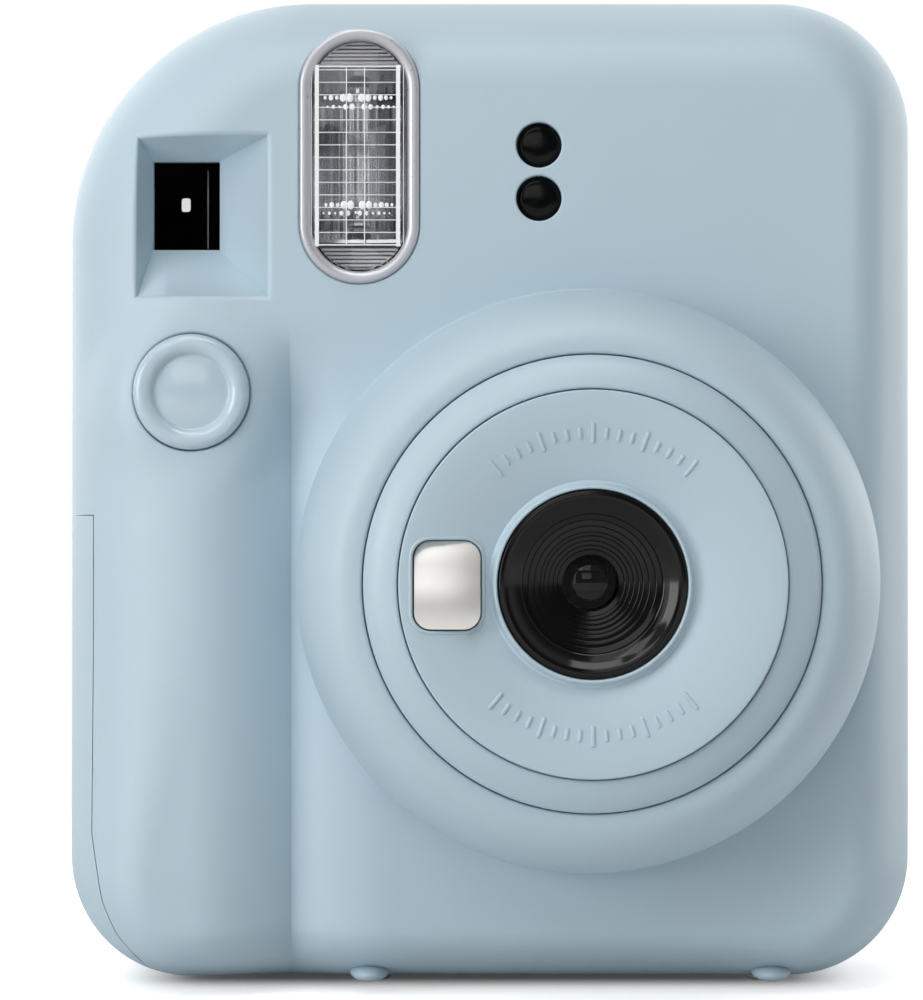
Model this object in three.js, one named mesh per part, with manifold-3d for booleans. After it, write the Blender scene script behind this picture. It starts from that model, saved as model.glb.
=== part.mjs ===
// An instant film camera standing on its feet, in millimetres. X is to the right as the camera is
// seen from the front, Z is up, and the lens looks along -Y.
// The origin is under the middle of the camera, on the surface that the feet stand on.
import * as THREE from "three";
import { mergeVertices } from "three/addons/utils/BufferGeometryUtils.js";
import Module from "manifold-3d";

const wasm = await Module();
wasm.setup();

// Sizes shared by many pieces
const clearance = 0.3;
const overrun = 1;
const wall = 1.8;
const thin_wall = 1.3;
const weld = 1e-4;
const fine_sides = 40;
const round_sides = 28;
const small_sides = 12;
const turn = 2 * Math.PI;

// The shell: its outline seen from the front, and how far its edges are rounded
const body = {
  half_width: 52,
  bottom: 1,
  top: 121.6,
  seam: 8,
  rounding_start: 4,
  face: 14,
  back: 30.4,
  back_rounding: 7,
  back_wall: 2.2,
};
const left_side = -body.half_width;
const right_side = body.half_width;
const full_height = 122;
const seat_y = body.back - 2 * body.back_wall;
const corner = { top_left: 30, top_right: 16.5, bottom_left: 15, bottom_right: 15 };
const edge = { left: 17, right: 9, top: 12, bottom: 7 };
const grid = { rows: 20, columns: 12, hollow_rows: 14, hollow_columns: 8 };
const left_column_shares = [0, 0.02, 0.08];

// The grip bulges forward on the left, and a sharp crease parts it from the rest of the face
const grip = {
  crest_inset: 16.2,
  crease_inset: 27.9,
  rise: 2.5,
  valley: 3.5,
  valley_width: 15,
  full_below: 68,
  gone_above: 88,
};
grip.crest = left_side + grip.crest_inset;
grip.crease = left_side + grip.crease_inset;

// The lens and the round housing that it sits in
const lens = { x: 11.6, z: 50.2 };
const housing = {
  radius: 34.9,
  rim_radius: 27.6,
  bore: 26.7,
  rim: 30,
  skirt: 14,
  foot: 8,
  seat: 1,
  curve_steps: 5,
  lip_inner: 22.6,
  lip_thickness: 1.5,
};
const ring = {
  outer: 26.4,
  inner: 22.6,
  front: 32.4,
  chamfer: 0.4,
  slope: 2.6,
  crest_share: 0.5,
  shoulder_share: 0.33,
};
const barrel = {
  radius: 22.3,
  front: 33.3,
  rim: 0.4,
  dish: 1.7,
  plate: 2,
  skirt_wall: 2.1,
  skirt_end: 13,
  cell_end: 16,
  opening: 11,
  collar: 0.5,
  collar_rise: 0.6,
};
const mirror = {
  x: -5.15,
  z: 50.1,
  width: 7.8,
  height: 10.3,
  corner: 1.7,
  thickness: 1.2,
  proud: 0.25,
};
const sleeve = { wall: 2.2, front: 27, flange: 1.5, flange_reach: 0.8 };
const bezel = {
  front_inset: 0.9,
  mouth: 10,
  throat: 3.3,
  steps: 5,
  depth: 7,
  ledge_share: 0.3,
  lens_bore: 6.3,
};
const front_glass = { thickness: 2.6, bulge: 0.7, flat_share: 0.5 };
const rear_glass = { thickness: 2, bulge: 0.5, flat_share: 0.5 };
const aperture = { plate: 0.5, half_opening: 1, pin: 0.4, pin_x: 4.2 };
const blade = { thickness: 0.4, reach: 6, half_width: 1.4, hub: 1.1 };

// The shutter button on the crest of the grip, and the switch behind it
const button = {
  x: grip.crest,
  z: 72.8,
  hole: 7.1,
  proud: 0.7,
  dish_radius: 4.9,
  dish: 0.8,
  rim_rounding: 0.5,
  flange: 0.8,
  flange_reach: 0.7,
  stem: 2,
  travel: 1.2,
  pad_margin: 0.8,
  pad_blend: 4,
};
const button_switch = { width: 6, height: 6, depth: 3 };

// The finder, from the funnel in the face to the eyepiece at the back
const finder = {
  inset: 10.8,
  width: 8.3,
  bottom: 90.3,
  top: 101.3,
  window: 6.3,
  funnel_inset: 9.4,
  funnel_width: 15.7,
  funnel_bottom: 84.5,
  funnel_top: 103.6,
  funnel_face: 14,
  axis_inset: 14,
  axis_z: 97,
  tube_width: 11.4,
  tube_height: 12.4,
  objective: 2,
};
finder.left = left_side + finder.inset;
finder.right = finder.left + finder.width;
finder.funnel_left = left_side + finder.funnel_inset;
finder.funnel_right = finder.funnel_left + finder.funnel_width;
finder.axis_x = left_side + finder.axis_inset;
const eyepiece = {
  width: 17,
  height: 14.5,
  corner: 3,
  proud: 1.9,
  neck_width: 12.4,
  neck_height: 11,
  opening_width: 8.4,
  opening_height: 7.4,
  lens: 2,
};

// The flash, the two light sensors and the board behind them
const flash = {
  x: -15.75,
  z: 101.15,
  width: 14.5,
  height: 30.7,
  front: 14.4,
  thickness: 2.5,
  reflector_width: 11.4,
  reflector_height: 22.4,
  reflector_depth: 7.8,
  reflector_wall: 1,
  reflector_steps: 8,
  tube: 1.3,
  tube_margin: 1,
};
const sensor = {
  x: 5.8,
  z: 102.5,
  pitch: 6.4,
  hole: 2.73,
  face_inset: 0.35,
  flange: 0.9,
  flange_reach: 0.55,
};
const board = {
  left: -6.5,
  right: 38,
  bottom: 86.5,
  top: 113.5,
  front: 9.5,
  thickness: 1.4,
  post: 1.6,
  post_inset: 3.5,
};
const capacitor = { left: -21, right: 7, radius: 5.8, y: 2.8 };

// The film pack, the chamber that it lies in, and the dark box in front of it
const film = { width: 58, height: 91, depth: 13.5, bottom: 11, front: 11.3, sheet_width: 54, lip: 1.2 };
const gate = { width: 46, height: 62 };
const chassis = {
  play: 0.5,
  wall: 1.5,
  flange: 1.5,
  flange_left: -30.5,
  flange_bottom: 9,
  flange_top: 111.2,
};
const dark_box = { front: 10.4, front_width: 22 };

// The rollers that push the film out at the top, and what drives them
const roller = {
  radius: 3,
  gap: 0.4,
  z: 107.6,
  shaft: 1,
  film_y: 12.8,
  bracket_top: 5.4,
  end: 1.2,
};
const gear = {
  module: 0.5333,
  width: 3,
  tip: 0.2,
  root: 0.9,
  tooth_share: 0.45,
  gap_share: 0.5,
  bore: 1,
};
const teeth = { roller: 12, reduction: 24, pinion: 8 };
const motor = { y: 0, z: 106, radius: 6.3, length: 24, shaft: 0.75, bore_depth: 3 };
const claw = { bottom: 30, length: 14, thickness: 1.4, width: 3, hook: 2, travel: 12 };
const shelf = { thickness: 1.2, motor_length: 16, capacitor_length: 20, front: 4 };

// The film door at the back, its hinge and its latch
const door = {
  left: -24,
  hinge_gap: 2.4,
  bottom: 10.4,
  top: 106.5,
  inner: 28,
  crown: 2.9,
  steps: 8,
  window_x: 11.6,
  window_z: 30,
  window_width: 7,
  window_height: 24,
  window_corner: 3.5,
  window_sunk: 0.5,
};
const hinge = {
  inset: 6.4,
  y: 29.2,
  knuckle: 2,
  pin: 0.9,
  knuckle_length: 39,
  lug_length: 7.8,
  knuckle_inset: 0.6,
};
hinge.x = right_side - hinge.inset;
door.right = hinge.x - door.hinge_gap;
const latch = {
  left: -22,
  right: -14,
  bottom: 48,
  top: 66,
  width: 5,
  height: 15,
  depth: 1.4,
  floor: 1.2,
  ridge: 1,
  groove_share: 0.2,
  groove_starts: [0.2, 0.6],
};
const pressure_pad = { width: 8, height: 60, offset: 16 };

// The battery bay in the grip, and its door that slides down
const cell = {
  radius: 7.25,
  length: 50.5,
  inset: 15.2,
  y: 2.4,
  pitch: 15.2,
  bottom: 7.2,
  nub: 2.7,
  nub_height: 1,
};
cell.x = left_side + cell.inset;
const contact = { thickness: 0.6, width: 9 };
const holder = { wall: 1.2, inset: 11, tab_width: 10, tab_thickness: 1.5 };
holder.left = left_side + holder.inset;
const battery_door = { top: 58, seam_inset: 3.8, back: 22 };
battery_door.seam_x = left_side + battery_door.seam_inset;
const battery_door_foot_shares = [
  [1, 0.34],
  [0.97, 0.2],
  [0.935, 0.13],
  [0.86, 0.045],
];

// The frame counter, the strap bar, the feet and the screws
const counter = { inset: 14, z: 40, radius: 7, thickness: 1.8, axle: 1, window: 2.6, window_rise: 4.4 };
counter.x = left_side + counter.inset;
const strap = { y: 15.4, z: 81, width: 13, height: 14, depth: 8, wall: 1.2, bar: 0.8, bar_inset: 1 };
const foot = {
  front_y: 5,
  back_y: 21.6,
  left: -14.7,
  right: 34.2,
  radius: 2.4,
  stem: 1.2,
  dome: 0.3,
};
const screw = {
  head: 1.9,
  head_height: 0.9,
  shank: 0.9,
  length: 7,
  left: -27.7,
  top: 109.4,
  low: 16,
  high: 84,
};
const slot = { depth: 3, hood_margin: 2.4, hood_depth: 5.6 };

// Colours and finishes of the real materials
const finishes = {
  shell_blue: { color: 0xa8becb, roughness: 0.55, metalness: 0 },
  black_plastic: { color: 0x17181a, roughness: 0.45, metalness: 0 },
  glossy_black: { color: 0x0e0f11, roughness: 0.15, metalness: 0 },
  clear_plastic: { color: 0xdfe4e6, roughness: 0.08, metalness: 0 },
  lens_glass: { color: 0x1b1f2a, roughness: 0.03, metalness: 0 },
  satin_metal: { color: 0xd6d4d0, roughness: 0.3, metalness: 1 },
  steel: { color: 0x9b9da0, roughness: 0.35, metalness: 1 },
  white_plastic: { color: 0xd9dadb, roughness: 0.5, metalness: 0 },
  film_black: { color: 0x222326, roughness: 0.6, metalness: 0 },
  board_green: { color: 0x1f4a35, roughness: 0.5, metalness: 0 },
  cell_wrap: { color: 0x2c3d55, roughness: 0.35, metalness: 0 },
};
const materials = {};
for (const [name, finish] of Object.entries(finishes)) {
  materials[name] = new THREE.MeshStandardMaterial({ name, ...finish });
}

const camera = new THREE.Group();

// Solids and the meshes made of them
function solid(geometry) {
  const loose = geometry.index ? geometry.toNonIndexed() : geometry.clone();
  const points = new THREE.BufferGeometry();
  points.setAttribute("position", loose.getAttribute("position"));
  const merged = mergeVertices(points, weld);
  const corners = merged.index.array;
  const faces = [];
  for (let i = 0; i < corners.length; i += 3) {
    const [a, b, c] = [corners[i], corners[i + 1], corners[i + 2]];
    if (a !== b && b !== c && c !== a) faces.push(a, b, c);
  }
  const vertProperties = merged.attributes.position.array;
  const close = () => {
    const triVerts = new Uint32Array(faces);
    return new wasm.Manifold(new wasm.Mesh({ numProp: 3, vertProperties, triVerts }));
  };
  const made = close();
  if (made.volume() > 0) return made;
  for (let i = 0; i < faces.length; i += 3) {
    [faces[i + 1], faces[i + 2]] = [faces[i + 2], faces[i + 1]];
  }
  return close();
}

// A solid from a list of triangles, each of three corners
function from_triangles(triangles) {
  const positions = new THREE.Float32BufferAttribute(triangles.flat(2), 3);
  return solid(new THREE.BufferGeometry().setAttribute("position", positions));
}

function add(name, made, material) {
  const { vertProperties, triVerts } = made.getMesh();
  const geometry = new THREE.BufferGeometry();
  geometry.setAttribute("position", new THREE.BufferAttribute(vertProperties, 3));
  geometry.setIndex(new THREE.BufferAttribute(triVerts, 1));
  geometry.computeVertexNormals();
  const mesh = new THREE.Mesh(geometry, materials[material]);
  mesh.name = name;
  camera.add(mesh);
}

function joined(solids) {
  return solids.reduce((whole, next) => whole.add(next));
}

// A block between two values on each axis
function block([x0, x1], [y0, y1], [z0, z1]) {
  const geometry = new THREE.BoxGeometry(x1 - x0, y1 - y0, z1 - z0);
  return solid(geometry.translate((x0 + x1) / 2, (y0 + y1) / 2, (z0 + z1) / 2));
}

const around = (centre, size) => [centre - size / 2, centre + size / 2];

// Round solids. A profile is a list of [radius, place along the axis].
function place_on_axis(geometry, axis, x, y, z) {
  if (axis === "x") geometry.rotateZ(-Math.PI / 2);
  if (axis === "z") geometry.rotateX(Math.PI / 2);
  return geometry.translate(x, y, z);
}

function turned(profile, axis, [x, y, z], sides) {
  const closed = [...profile, profile[0]];
  const points = closed.map(([radius, along]) => new THREE.Vector2(radius, along));
  return solid(place_on_axis(new THREE.LatheGeometry(points, sides), axis, x, y, z));
}

function rod(radius, [from, to], axis, [x, y, z], sides) {
  const geometry = new THREE.CylinderGeometry(radius, radius, to - from, sides);
  geometry.translate(0, (from + to) / 2, 0);
  return solid(place_on_axis(geometry, axis, x, y, z));
}

// Flat outlines in X and Z, drawn through to a depth in Y
function plate(shape, [y0, y1], steps) {
  const options = { depth: y1 - y0, bevelEnabled: false, curveSegments: steps };
  const geometry = new THREE.ExtrudeGeometry(shape, options);
  return solid(geometry.rotateX(Math.PI / 2).translate(0, y1, 0));
}

function rounded_rectangle(x, z, width, height, radius) {
  const shape = new THREE.Shape();
  const [left, right] = around(x, width);
  const [bottom, top] = around(z, height);
  shape.absarc(right - radius, bottom + radius, radius, -turn / 4, 0);
  shape.absarc(right - radius, top - radius, radius, 0, turn / 4);
  shape.absarc(left + radius, top - radius, radius, turn / 4, turn / 2);
  shape.absarc(left + radius, bottom + radius, radius, turn / 2, (3 * turn) / 4);
  return shape;
}

function polygon(points) {
  return new THREE.Shape(points.map(([x, z]) => new THREE.Vector2(x, z)));
}

// A closed solid through rings that have the same number of points
function loft(rings) {
  const triangles = [];
  const count = rings[0].length;
  for (let r = 0; r + 1 < rings.length; r++) {
    for (let i = 0; i < count; i++) {
      const j = (i + 1) % count;
      triangles.push([rings[r][i], rings[r][j], rings[r + 1][j]]);
      triangles.push([rings[r][i], rings[r + 1][j], rings[r + 1][i]]);
    }
  }
  const last = rings[rings.length - 1];
  for (let i = 1; i + 1 < count; i++) {
    triangles.push([rings[0][0], rings[0][i + 1], rings[0][i]]);
    triangles.push([last[0], last[i], last[i + 1]]);
  }
  return from_triangles(triangles);
}

// A rectangle as a ring of four points at one place in Y
function rectangle_at([x0, x1], [z0, z1], y) {
  return [
    [x0, y, z0],
    [x1, y, z0],
    [x1, y, z1],
    [x0, y, z1],
  ];
}

// A sheet of heights over a field of rows, closed by a flat end. Facing is -1 to the front and 1 to
// the back.
function relief(rows, shares, left, right, height, flat, facing) {
  const at = (i, j) => {
    const z = rows[j];
    const x = THREE.MathUtils.lerp(left(z), right(z), shares(z)[i]);
    return [x, facing * height(x, z), z];
  };
  const columns = shares(rows[0]).length - 1;
  const count = rows.length - 1;
  const triangles = [];
  for (let j = 0; j < count; j++) {
    for (let i = 0; i < columns; i++) {
      const [a, b, c, d] = [at(i, j), at(i + 1, j), at(i + 1, j + 1), at(i, j + 1)];
      triangles.push([a, b, c], [a, c, d]);
    }
  }
  const border = [];
  for (let i = 0; i < columns; i++) border.push(at(i, 0));
  for (let j = 0; j < count; j++) border.push(at(columns, j));
  for (let i = columns; i > 0; i--) border.push(at(i, count));
  for (let j = count; j > 0; j--) border.push(at(0, j));
  const flattened = border.map(([x, , z]) => [x, flat, z]);
  const middle = (rows[0] + rows[count]) / 2;
  const centre = [(left(middle) + right(middle)) / 2, flat, middle];
  border.forEach((p, k) => {
    const next = (k + 1) % border.length;
    triangles.push([p, flattened[k], flattened[next]]);
    triangles.push([p, flattened[next], border[next]]);
    triangles.push([centre, flattened[next], flattened[k]]);
  });
  return from_triangles(triangles);
}

// The shell's outline: its edge at a height, and how deep a point lies inside it
const middle_z = (body.bottom + body.top) / 2;
const half_height = (body.top - body.bottom) / 2;

function corner_radius(x, z) {
  if (z > middle_z) return x < 0 ? corner.top_left : corner.top_right;
  return x < 0 ? corner.bottom_left : corner.bottom_right;
}

function outline_x(side, z, inset) {
  const radius = corner_radius(side, z) - inset;
  const past = Math.abs(z - middle_z) - (half_height - inset - radius);
  const across = past > 0 ? radius - Math.sqrt(Math.max(radius * radius - past * past, 0)) : 0;
  return side * (body.half_width - inset - across);
}

function edge_depth(x, z) {
  const radius = corner_radius(x, z);
  const past_x = Math.abs(x) - body.half_width + radius;
  const past_z = Math.abs(z - middle_z) - half_height + radius;
  const reach = Math.hypot(Math.max(past_x, 0), Math.max(past_z, 0));
  const depth = radius - reach - Math.min(Math.max(past_x, past_z), 0);
  let sideways = past_x > past_z ? 1 : 0;
  if (past_x > 0 && past_z > 0) sideways = (past_x / reach) ** 2;
  const side_width = x < 0 ? edge.left : edge.right;
  const end_width = z < middle_z ? edge.bottom : edge.top;
  return { depth, width: sideways * side_width + (1 - sideways) * end_width };
}

// A quarter of an ellipse: 1 at the outline and 0 from the rounding's width inwards
function rounding(depth, width) {
  const share = THREE.MathUtils.clamp(depth / width, 0, 1);
  return 1 - Math.sqrt(1 - (1 - share) ** 2);
}

// How far the face stands ahead of the origin, before its edges are rounded
function face_height(x, z) {
  const full = 1 - THREE.MathUtils.smoothstep(z, grip.full_below, grip.gone_above);
  if (x < grip.crease) {
    const share = THREE.MathUtils.clamp((x - grip.crest) / (grip.crease - grip.crest), 0, 1);
    return body.face + full * (grip.rise - (grip.rise + grip.valley) * share ** 2);
  }
  const share = THREE.MathUtils.clamp((x - grip.crease) / grip.valley_width, 0, 1);
  return body.face - full * grip.valley * (1 - share) ** 2;
}

function rounded_height(x, z) {
  const { depth, width } = edge_depth(x, z);
  const height = face_height(x, z);
  return height - (height + body.rounding_start) * rounding(depth, width);
}

// The grip is flat round the shutter button
const pad_height = rounded_height(button.x, button.z);

function front_height(x, z) {
  const away = Math.hypot(x - button.x, z - button.z) - button.hole - button.pad_margin;
  const share = THREE.MathUtils.smoothstep(away, 0, button.pad_blend);
  return THREE.MathUtils.lerp(pad_height, rounded_height(x, z), share);
}

function back_height(x, z) {
  return body.back - body.back_rounding * rounding(edge_depth(x, z).depth, body.back_rounding);
}

// Shares from 0 to 1 that lie closer together at both ends
function eased(count) {
  return Array.from({ length: count + 1 }, (_, i) => (1 - Math.cos((Math.PI * i) / count)) / 2);
}

// One half of the shell as a full solid, inset from the outline and sunk below the surface. Its rows and
// columns also follow the flat pad round the shutter button.
const pad_radius = button.hole + button.pad_margin;
const pad_stops = [-pad_radius - button.pad_blend, -pad_radius, 0, pad_radius];

function half_shell(inset, sunk, height, flat, facing) {
  const low = body.bottom + inset;
  const high = body.top - inset;
  const row_count = inset ? grid.hollow_rows : grid.rows;
  const column_count = inset ? grid.hollow_columns : grid.columns;
  const eased_rows = eased(row_count).map((share) => THREE.MathUtils.lerp(low, high, share));
  const pad_rows = pad_stops.map((stop) => button.z + stop);
  const rows = [...eased_rows, ...pad_rows].sort((a, b) => a - b);
  const left = (z) => outline_x(-1, z, inset);
  const right = (z) => outline_x(1, z, inset);
  const reach = grip.crease + body.half_width;
  const pad_shares = pad_stops.map((stop) => (button.x + stop + body.half_width) / reach);
  const shares = (z) => {
    const span = right(z) - left(z);
    const crease = Math.max((grip.crease - left(z)) / span, wall / span);
    const near = [...left_column_shares, ...pad_shares].map((share) => share * crease);
    const far = eased(column_count).map((share) => crease + share * (1 - crease));
    return [...near, ...far];
  };
  return relief(rows, shares, left, right, (x, z) => height(x, z) - sunk, flat, facing);
}

function outline_slab(inset, [y0, y1]) {
  const shape = new THREE.Shape();
  const half = body.half_width - inset;
  const low = body.bottom + inset;
  const high = body.top - inset;
  const { top_left, top_right, bottom_left, bottom_right } = corner;
  const corners = [bottom_right, top_right, top_left, bottom_left];
  const [r0, r1, r2, r3] = corners.map((radius) => radius - inset);
  shape.absarc(half - r0, low + r0, r0, -turn / 4, 0);
  shape.absarc(half - r1, high - r1, r1, 0, turn / 4);
  shape.absarc(r2 - half, high - r2, r2, turn / 4, turn / 2);
  shape.absarc(r3 - half, low + r3, r3, turn / 2, (3 * turn) / 4);
  return plate(shape, [y0, y1], round_sides / 4);
}

const front_full = half_shell(0, 0, front_height, body.seam, -1);
const front_hollow = half_shell(wall, wall, front_height, body.seam + overrun, -1);
const back_full = half_shell(0, 0, back_height, body.seam - overrun, 1);
const back_hollow = half_shell(wall, body.back_wall, back_height, body.seam - 2 * overrun, 1);

// The battery door is a piece of the shell's side, from its top edge down round the bottom corner
function battery_door_prism(grown) {
  const side = body.half_width + overrun;
  const points = [
    [-side, battery_door.top + grown],
    [battery_door.seam_x + grown, battery_door.top + grown],
  ];
  for (const [across_share, up_share] of battery_door_foot_shares) {
    points.push([battery_door.seam_x * across_share + grown, battery_door.top * up_share]);
  }
  const last = points[points.length - 1];
  points.push([last[0], -overrun], [-side, -overrun]);
  const front = -body.face - grip.rise - overrun;
  return plate(polygon(points.reverse()), [front, battery_door.back + grown], small_sides);
}

const battery_door_cut = battery_door_prism(clearance);

function make_battery_door() {
  const shell = front_full.add(back_full).subtract(front_hollow.add(back_hollow));
  return shell.intersect(battery_door_prism(0));
}

// The funnel that leads in to the finder window
function funnel() {
  const outer_y = -body.face - grip.rise;
  const share = (outer_y + finder.window) / (finder.window - finder.funnel_face);
  const out = (inner, outer) => inner + (outer - inner) * share;
  const mouth_x = [out(finder.left, finder.funnel_left), out(finder.right, finder.funnel_right)];
  const mouth_z = [out(finder.bottom, finder.funnel_bottom), out(finder.top, finder.funnel_top)];
  const window_x = [finder.left, finder.right];
  const window_z = [finder.bottom, finder.top];
  return loft([
    rectangle_at(mouth_x, mouth_z, outer_y),
    rectangle_at(window_x, window_z, -finder.window),
    rectangle_at(window_x, window_z, overrun - finder.window + wall),
  ]);
}

function make_front_cover() {
  const centre = [lens.x, 0, lens.z];
  const funnel_block = block(
    [finder.funnel_left - wall, finder.funnel_right + wall],
    [-body.face - grip.rise, -finder.window],
    [finder.funnel_bottom - wall, finder.funnel_top + wall],
  );
  let cover = front_full.subtract(front_hollow);
  cover = cover.add(funnel_block.intersect(front_full)).subtract(funnel());
  const housing_hole = [-body.face - wall, 0];
  cover = cover.subtract(rod(housing.radius - housing.seat, housing_hole, "y", centre, fine_sides));
  cover = cover.add(make_housing());
  const pill = rounded_rectangle(flash.x, flash.z, flash.width, flash.height, flash.width / 2);
  cover = cover.subtract(plate(pill, [-flash.front, 0], small_sides / 2));
  const hole_depth = [-body.face - grip.rise - overrun, -finder.window];
  for (const z of [sensor.z, sensor.z - sensor.pitch]) {
    cover = cover.subtract(rod(sensor.hole, hole_depth, "y", [sensor.x, 0, z], small_sides));
  }
  const button_place = [button.x, 0, button.z];
  const under_pad = [wall - pad_height, overrun - body.face];
  cover = cover.add(rod(pad_radius, [-pad_height, under_pad[1]], "y", button_place, round_sides));
  const well = button.hole + button.flange_reach + clearance;
  cover = cover.subtract(rod(well, [under_pad[0], 0], "y", button_place, round_sides));
  cover = cover.subtract(rod(button.hole, [-pad_height - overrun, 0], "y", button_place, round_sides));
  for (const x of [board.left + board.post_inset, board.right - board.post_inset]) {
    for (const z of [board.bottom + board.post_inset, board.top - board.post_inset]) {
      const span = [wall / 2 - front_height(x, z), -board.front - clearance];
      cover = cover.add(rod(board.post, span, "y", [x, 0, z], small_sides / 2));
    }
  }
  for (const x of [foot.left, foot.right]) cover = cover.subtract(foot_hole(x, foot.front_y));
  return cover.subtract(battery_door_cut);
}

// The housing is a hollow ring that stands round the lens, with a bore that the lens ring turns in
function make_housing() {
  const curve = (shrink) => {
    const points = [];
    for (let i = 0; i <= housing.curve_steps; i++) {
      const angle = (turn / 4) * (i / housing.curve_steps);
      const across = (housing.radius - housing.rim_radius) * Math.cos(angle);
      const along = (housing.rim - housing.skirt) * Math.sin(angle);
      const radius = housing.rim_radius + across - shrink * Math.cos(angle);
      points.push([radius, shrink * Math.sin(angle) - housing.skirt - along]);
    }
    return points;
  };
  const tube = housing.bore + thin_wall;
  const inner = curve(wall).filter(([radius]) => radius > tube);
  const deepest = inner[inner.length - 1];
  const lip_back = -housing.skirt + housing.lip_thickness;
  const profile = [
    [housing.lip_inner, -housing.skirt],
    [housing.bore, -housing.skirt],
    [housing.bore, -housing.rim],
    ...curve(0).reverse(),
    [housing.radius, -housing.foot],
    [housing.radius - wall, -housing.foot],
    ...inner,
    [tube, deepest[1]],
    [tube, lip_back],
    [housing.lip_inner, lip_back],
  ];
  return turned(profile, "y", [lens.x, 0, lens.z], fine_sides);
}

function foot_hole(x, y) {
  const span = [-overrun, body.bottom + wall + overrun];
  return rod(foot.stem + clearance, span, "z", [x, y, 0], small_sides);
}

function make_foot(x, y) {
  const top = body.bottom - clearance;
  const profile = [
    [0, 0],
    [foot.radius - foot.dome, 0],
    [foot.radius, foot.dome],
    [foot.radius, top],
    [foot.stem, top],
    [foot.stem, body.bottom + wall],
    [0, body.bottom + wall],
  ];
  return turned(profile, "z", [x, y, 0], small_sides);
}

// Places that follow from the sizes above
const bay = {
  right: cell.x + cell.radius + clearance,
  floor: cell.bottom - 2 * clearance - contact.thickness,
  ceiling: cell.bottom + cell.length + 2 * clearance + contact.thickness,
};
const chamber = {
  left: lens.x - film.width / 2 - chassis.play,
  right: lens.x + film.width / 2 + chassis.play,
  bottom: film.bottom - chassis.play,
  top: film.bottom + film.height + chassis.play,
  front: film.front - clearance,
  rim: door.inner - clearance,
};
const chassis_box = {
  left: chamber.left - chassis.wall,
  right: chamber.right + chassis.wall,
  bottom: chamber.bottom - chassis.wall,
  top: chamber.top + chassis.wall,
  front: chamber.front - chassis.wall,
};
const roller_pitch = 2 * roller.radius + roller.gap;
const roller_y = [roller.film_y - roller_pitch / 2, roller.film_y + roller_pitch / 2];
const gear_left = chassis_box.right + clearance;
const gear_span = [gear_left, gear_left + gear.width];
const pitch_radius = (count) => (gear.module * count) / 2;
const slot_x = around(lens.x, film.sheet_width + 2 * clearance);
const dark_box_top = lens.z + gate.height / 2 + thin_wall;
const capacitor_z = dark_box_top + 2 * clearance + shelf.thickness + capacitor.radius;

// The reduction gear meets the roller's gear and the motor's pinion, so it lies below both
const reduction = (() => {
  const to_motor = pitch_radius(teeth.pinion) + pitch_radius(teeth.reduction);
  const to_roller = pitch_radius(teeth.roller) + pitch_radius(teeth.reduction);
  const run_y = roller_y[0] - motor.y;
  const run_z = roller.z - motor.z;
  const span = Math.hypot(run_y, run_z);
  const along = (to_motor ** 2 - to_roller ** 2 + span ** 2) / (2 * span);
  const across = Math.sqrt(to_motor ** 2 - along ** 2);
  return {
    y: motor.y + (run_y * along + run_z * across) / span,
    z: motor.z + (run_z * along - run_y * across) / span,
  };
})();

function make_rear_cover() {
  const cut_seam = block(
    around(0, 2 * (body.half_width + overrun)),
    [-body.face, body.seam + clearance],
    [-overrun, body.top + overrun],
  );
  const opening_x = [door.left - clearance, door.right];
  const opening_z = [door.bottom - clearance, door.top + clearance];
  const beyond = [door.inner - clearance - overrun, body.back + door.crown];
  let cover = back_full.subtract(back_hollow);
  cover = cover.subtract(block(opening_x, beyond, opening_z));
  const channel = hinge.knuckle + 2 * clearance;
  cover = cover.subtract(rod(channel, opening_z, "z", [hinge.x, hinge.y, 0], small_sides));
  cover = cover.subtract(block([door.right - overrun, hinge.x], [hinge.y - channel, beyond[1]], opening_z));
  for (const z of lug_places()) cover = cover.add(make_hinge_lug(z));
  const hood_x = [slot_x[0] - slot.hood_margin, slot_x[1] + slot.hood_margin];
  const slot_y = around(roller.film_y, slot.depth);
  const hood_y = around(roller.film_y, slot.hood_depth);
  const hood_rise = full_height - body.top;
  const hood_core = outline_slab(wall, around(roller.film_y, 2 * slot.hood_depth));
  const hood = outline_slab(-hood_rise, hood_y).subtract(hood_core);
  cover = cover.add(hood.intersect(block(hood_x, hood_y, [middle_z, full_height + overrun])));
  cover = cover.subtract(block(slot_x, slot_y, [roller.z, full_height + overrun]));
  cover = cover.subtract(block(
    around(finder.axis_x, eyepiece.neck_width + 2 * clearance),
    [door.inner - wall, body.back + overrun],
    around(finder.axis_z, eyepiece.neck_height + 2 * clearance),
  ));
  const window_place = [counter.x, 0, counter.z + counter.window_rise];
  const through = [seat_y, body.back + overrun];
  const window_radius = counter.window + clearance;
  cover = cover.subtract(rod(window_radius, through, "y", window_place, small_sides));
  const axle_end = body.back - body.back_wall - clearance - counter.thickness - clearance;
  const axle = [axle_end, body.back - wall / 2];
  cover = cover.add(rod(counter.axle, axle, "y", [counter.x, 0, counter.z], small_sides));
  cover = cover.subtract(block(
    [body.half_width - 2 * wall, body.half_width + overrun],
    around(strap.y, strap.width + 2 * clearance),
    around(strap.z, strap.height + 2 * clearance),
  ));
  for (const [x, z] of screw_places()) {
    cover = cover.subtract(rod(screw.shank + clearance, through, "y", [x, 0, z], small_sides));
    const sunk = [body.back - screw.head_height - clearance, body.back + overrun];
    cover = cover.subtract(rod(screw.head + clearance, sunk, "y", [x, 0, z], small_sides));
  }
  for (const x of [foot.left, foot.right]) cover = cover.subtract(foot_hole(x, foot.back_y));
  return cover.subtract(cut_seam).subtract(battery_door_cut);
}

function screw_places() {
  return [
    [screw.left, screw.low],
    [screw.left, screw.high],
    [chassis_box.left + 2 * film.lip, screw.top],
    [chassis_box.right - 2 * film.lip, screw.top],
  ];
}

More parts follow.
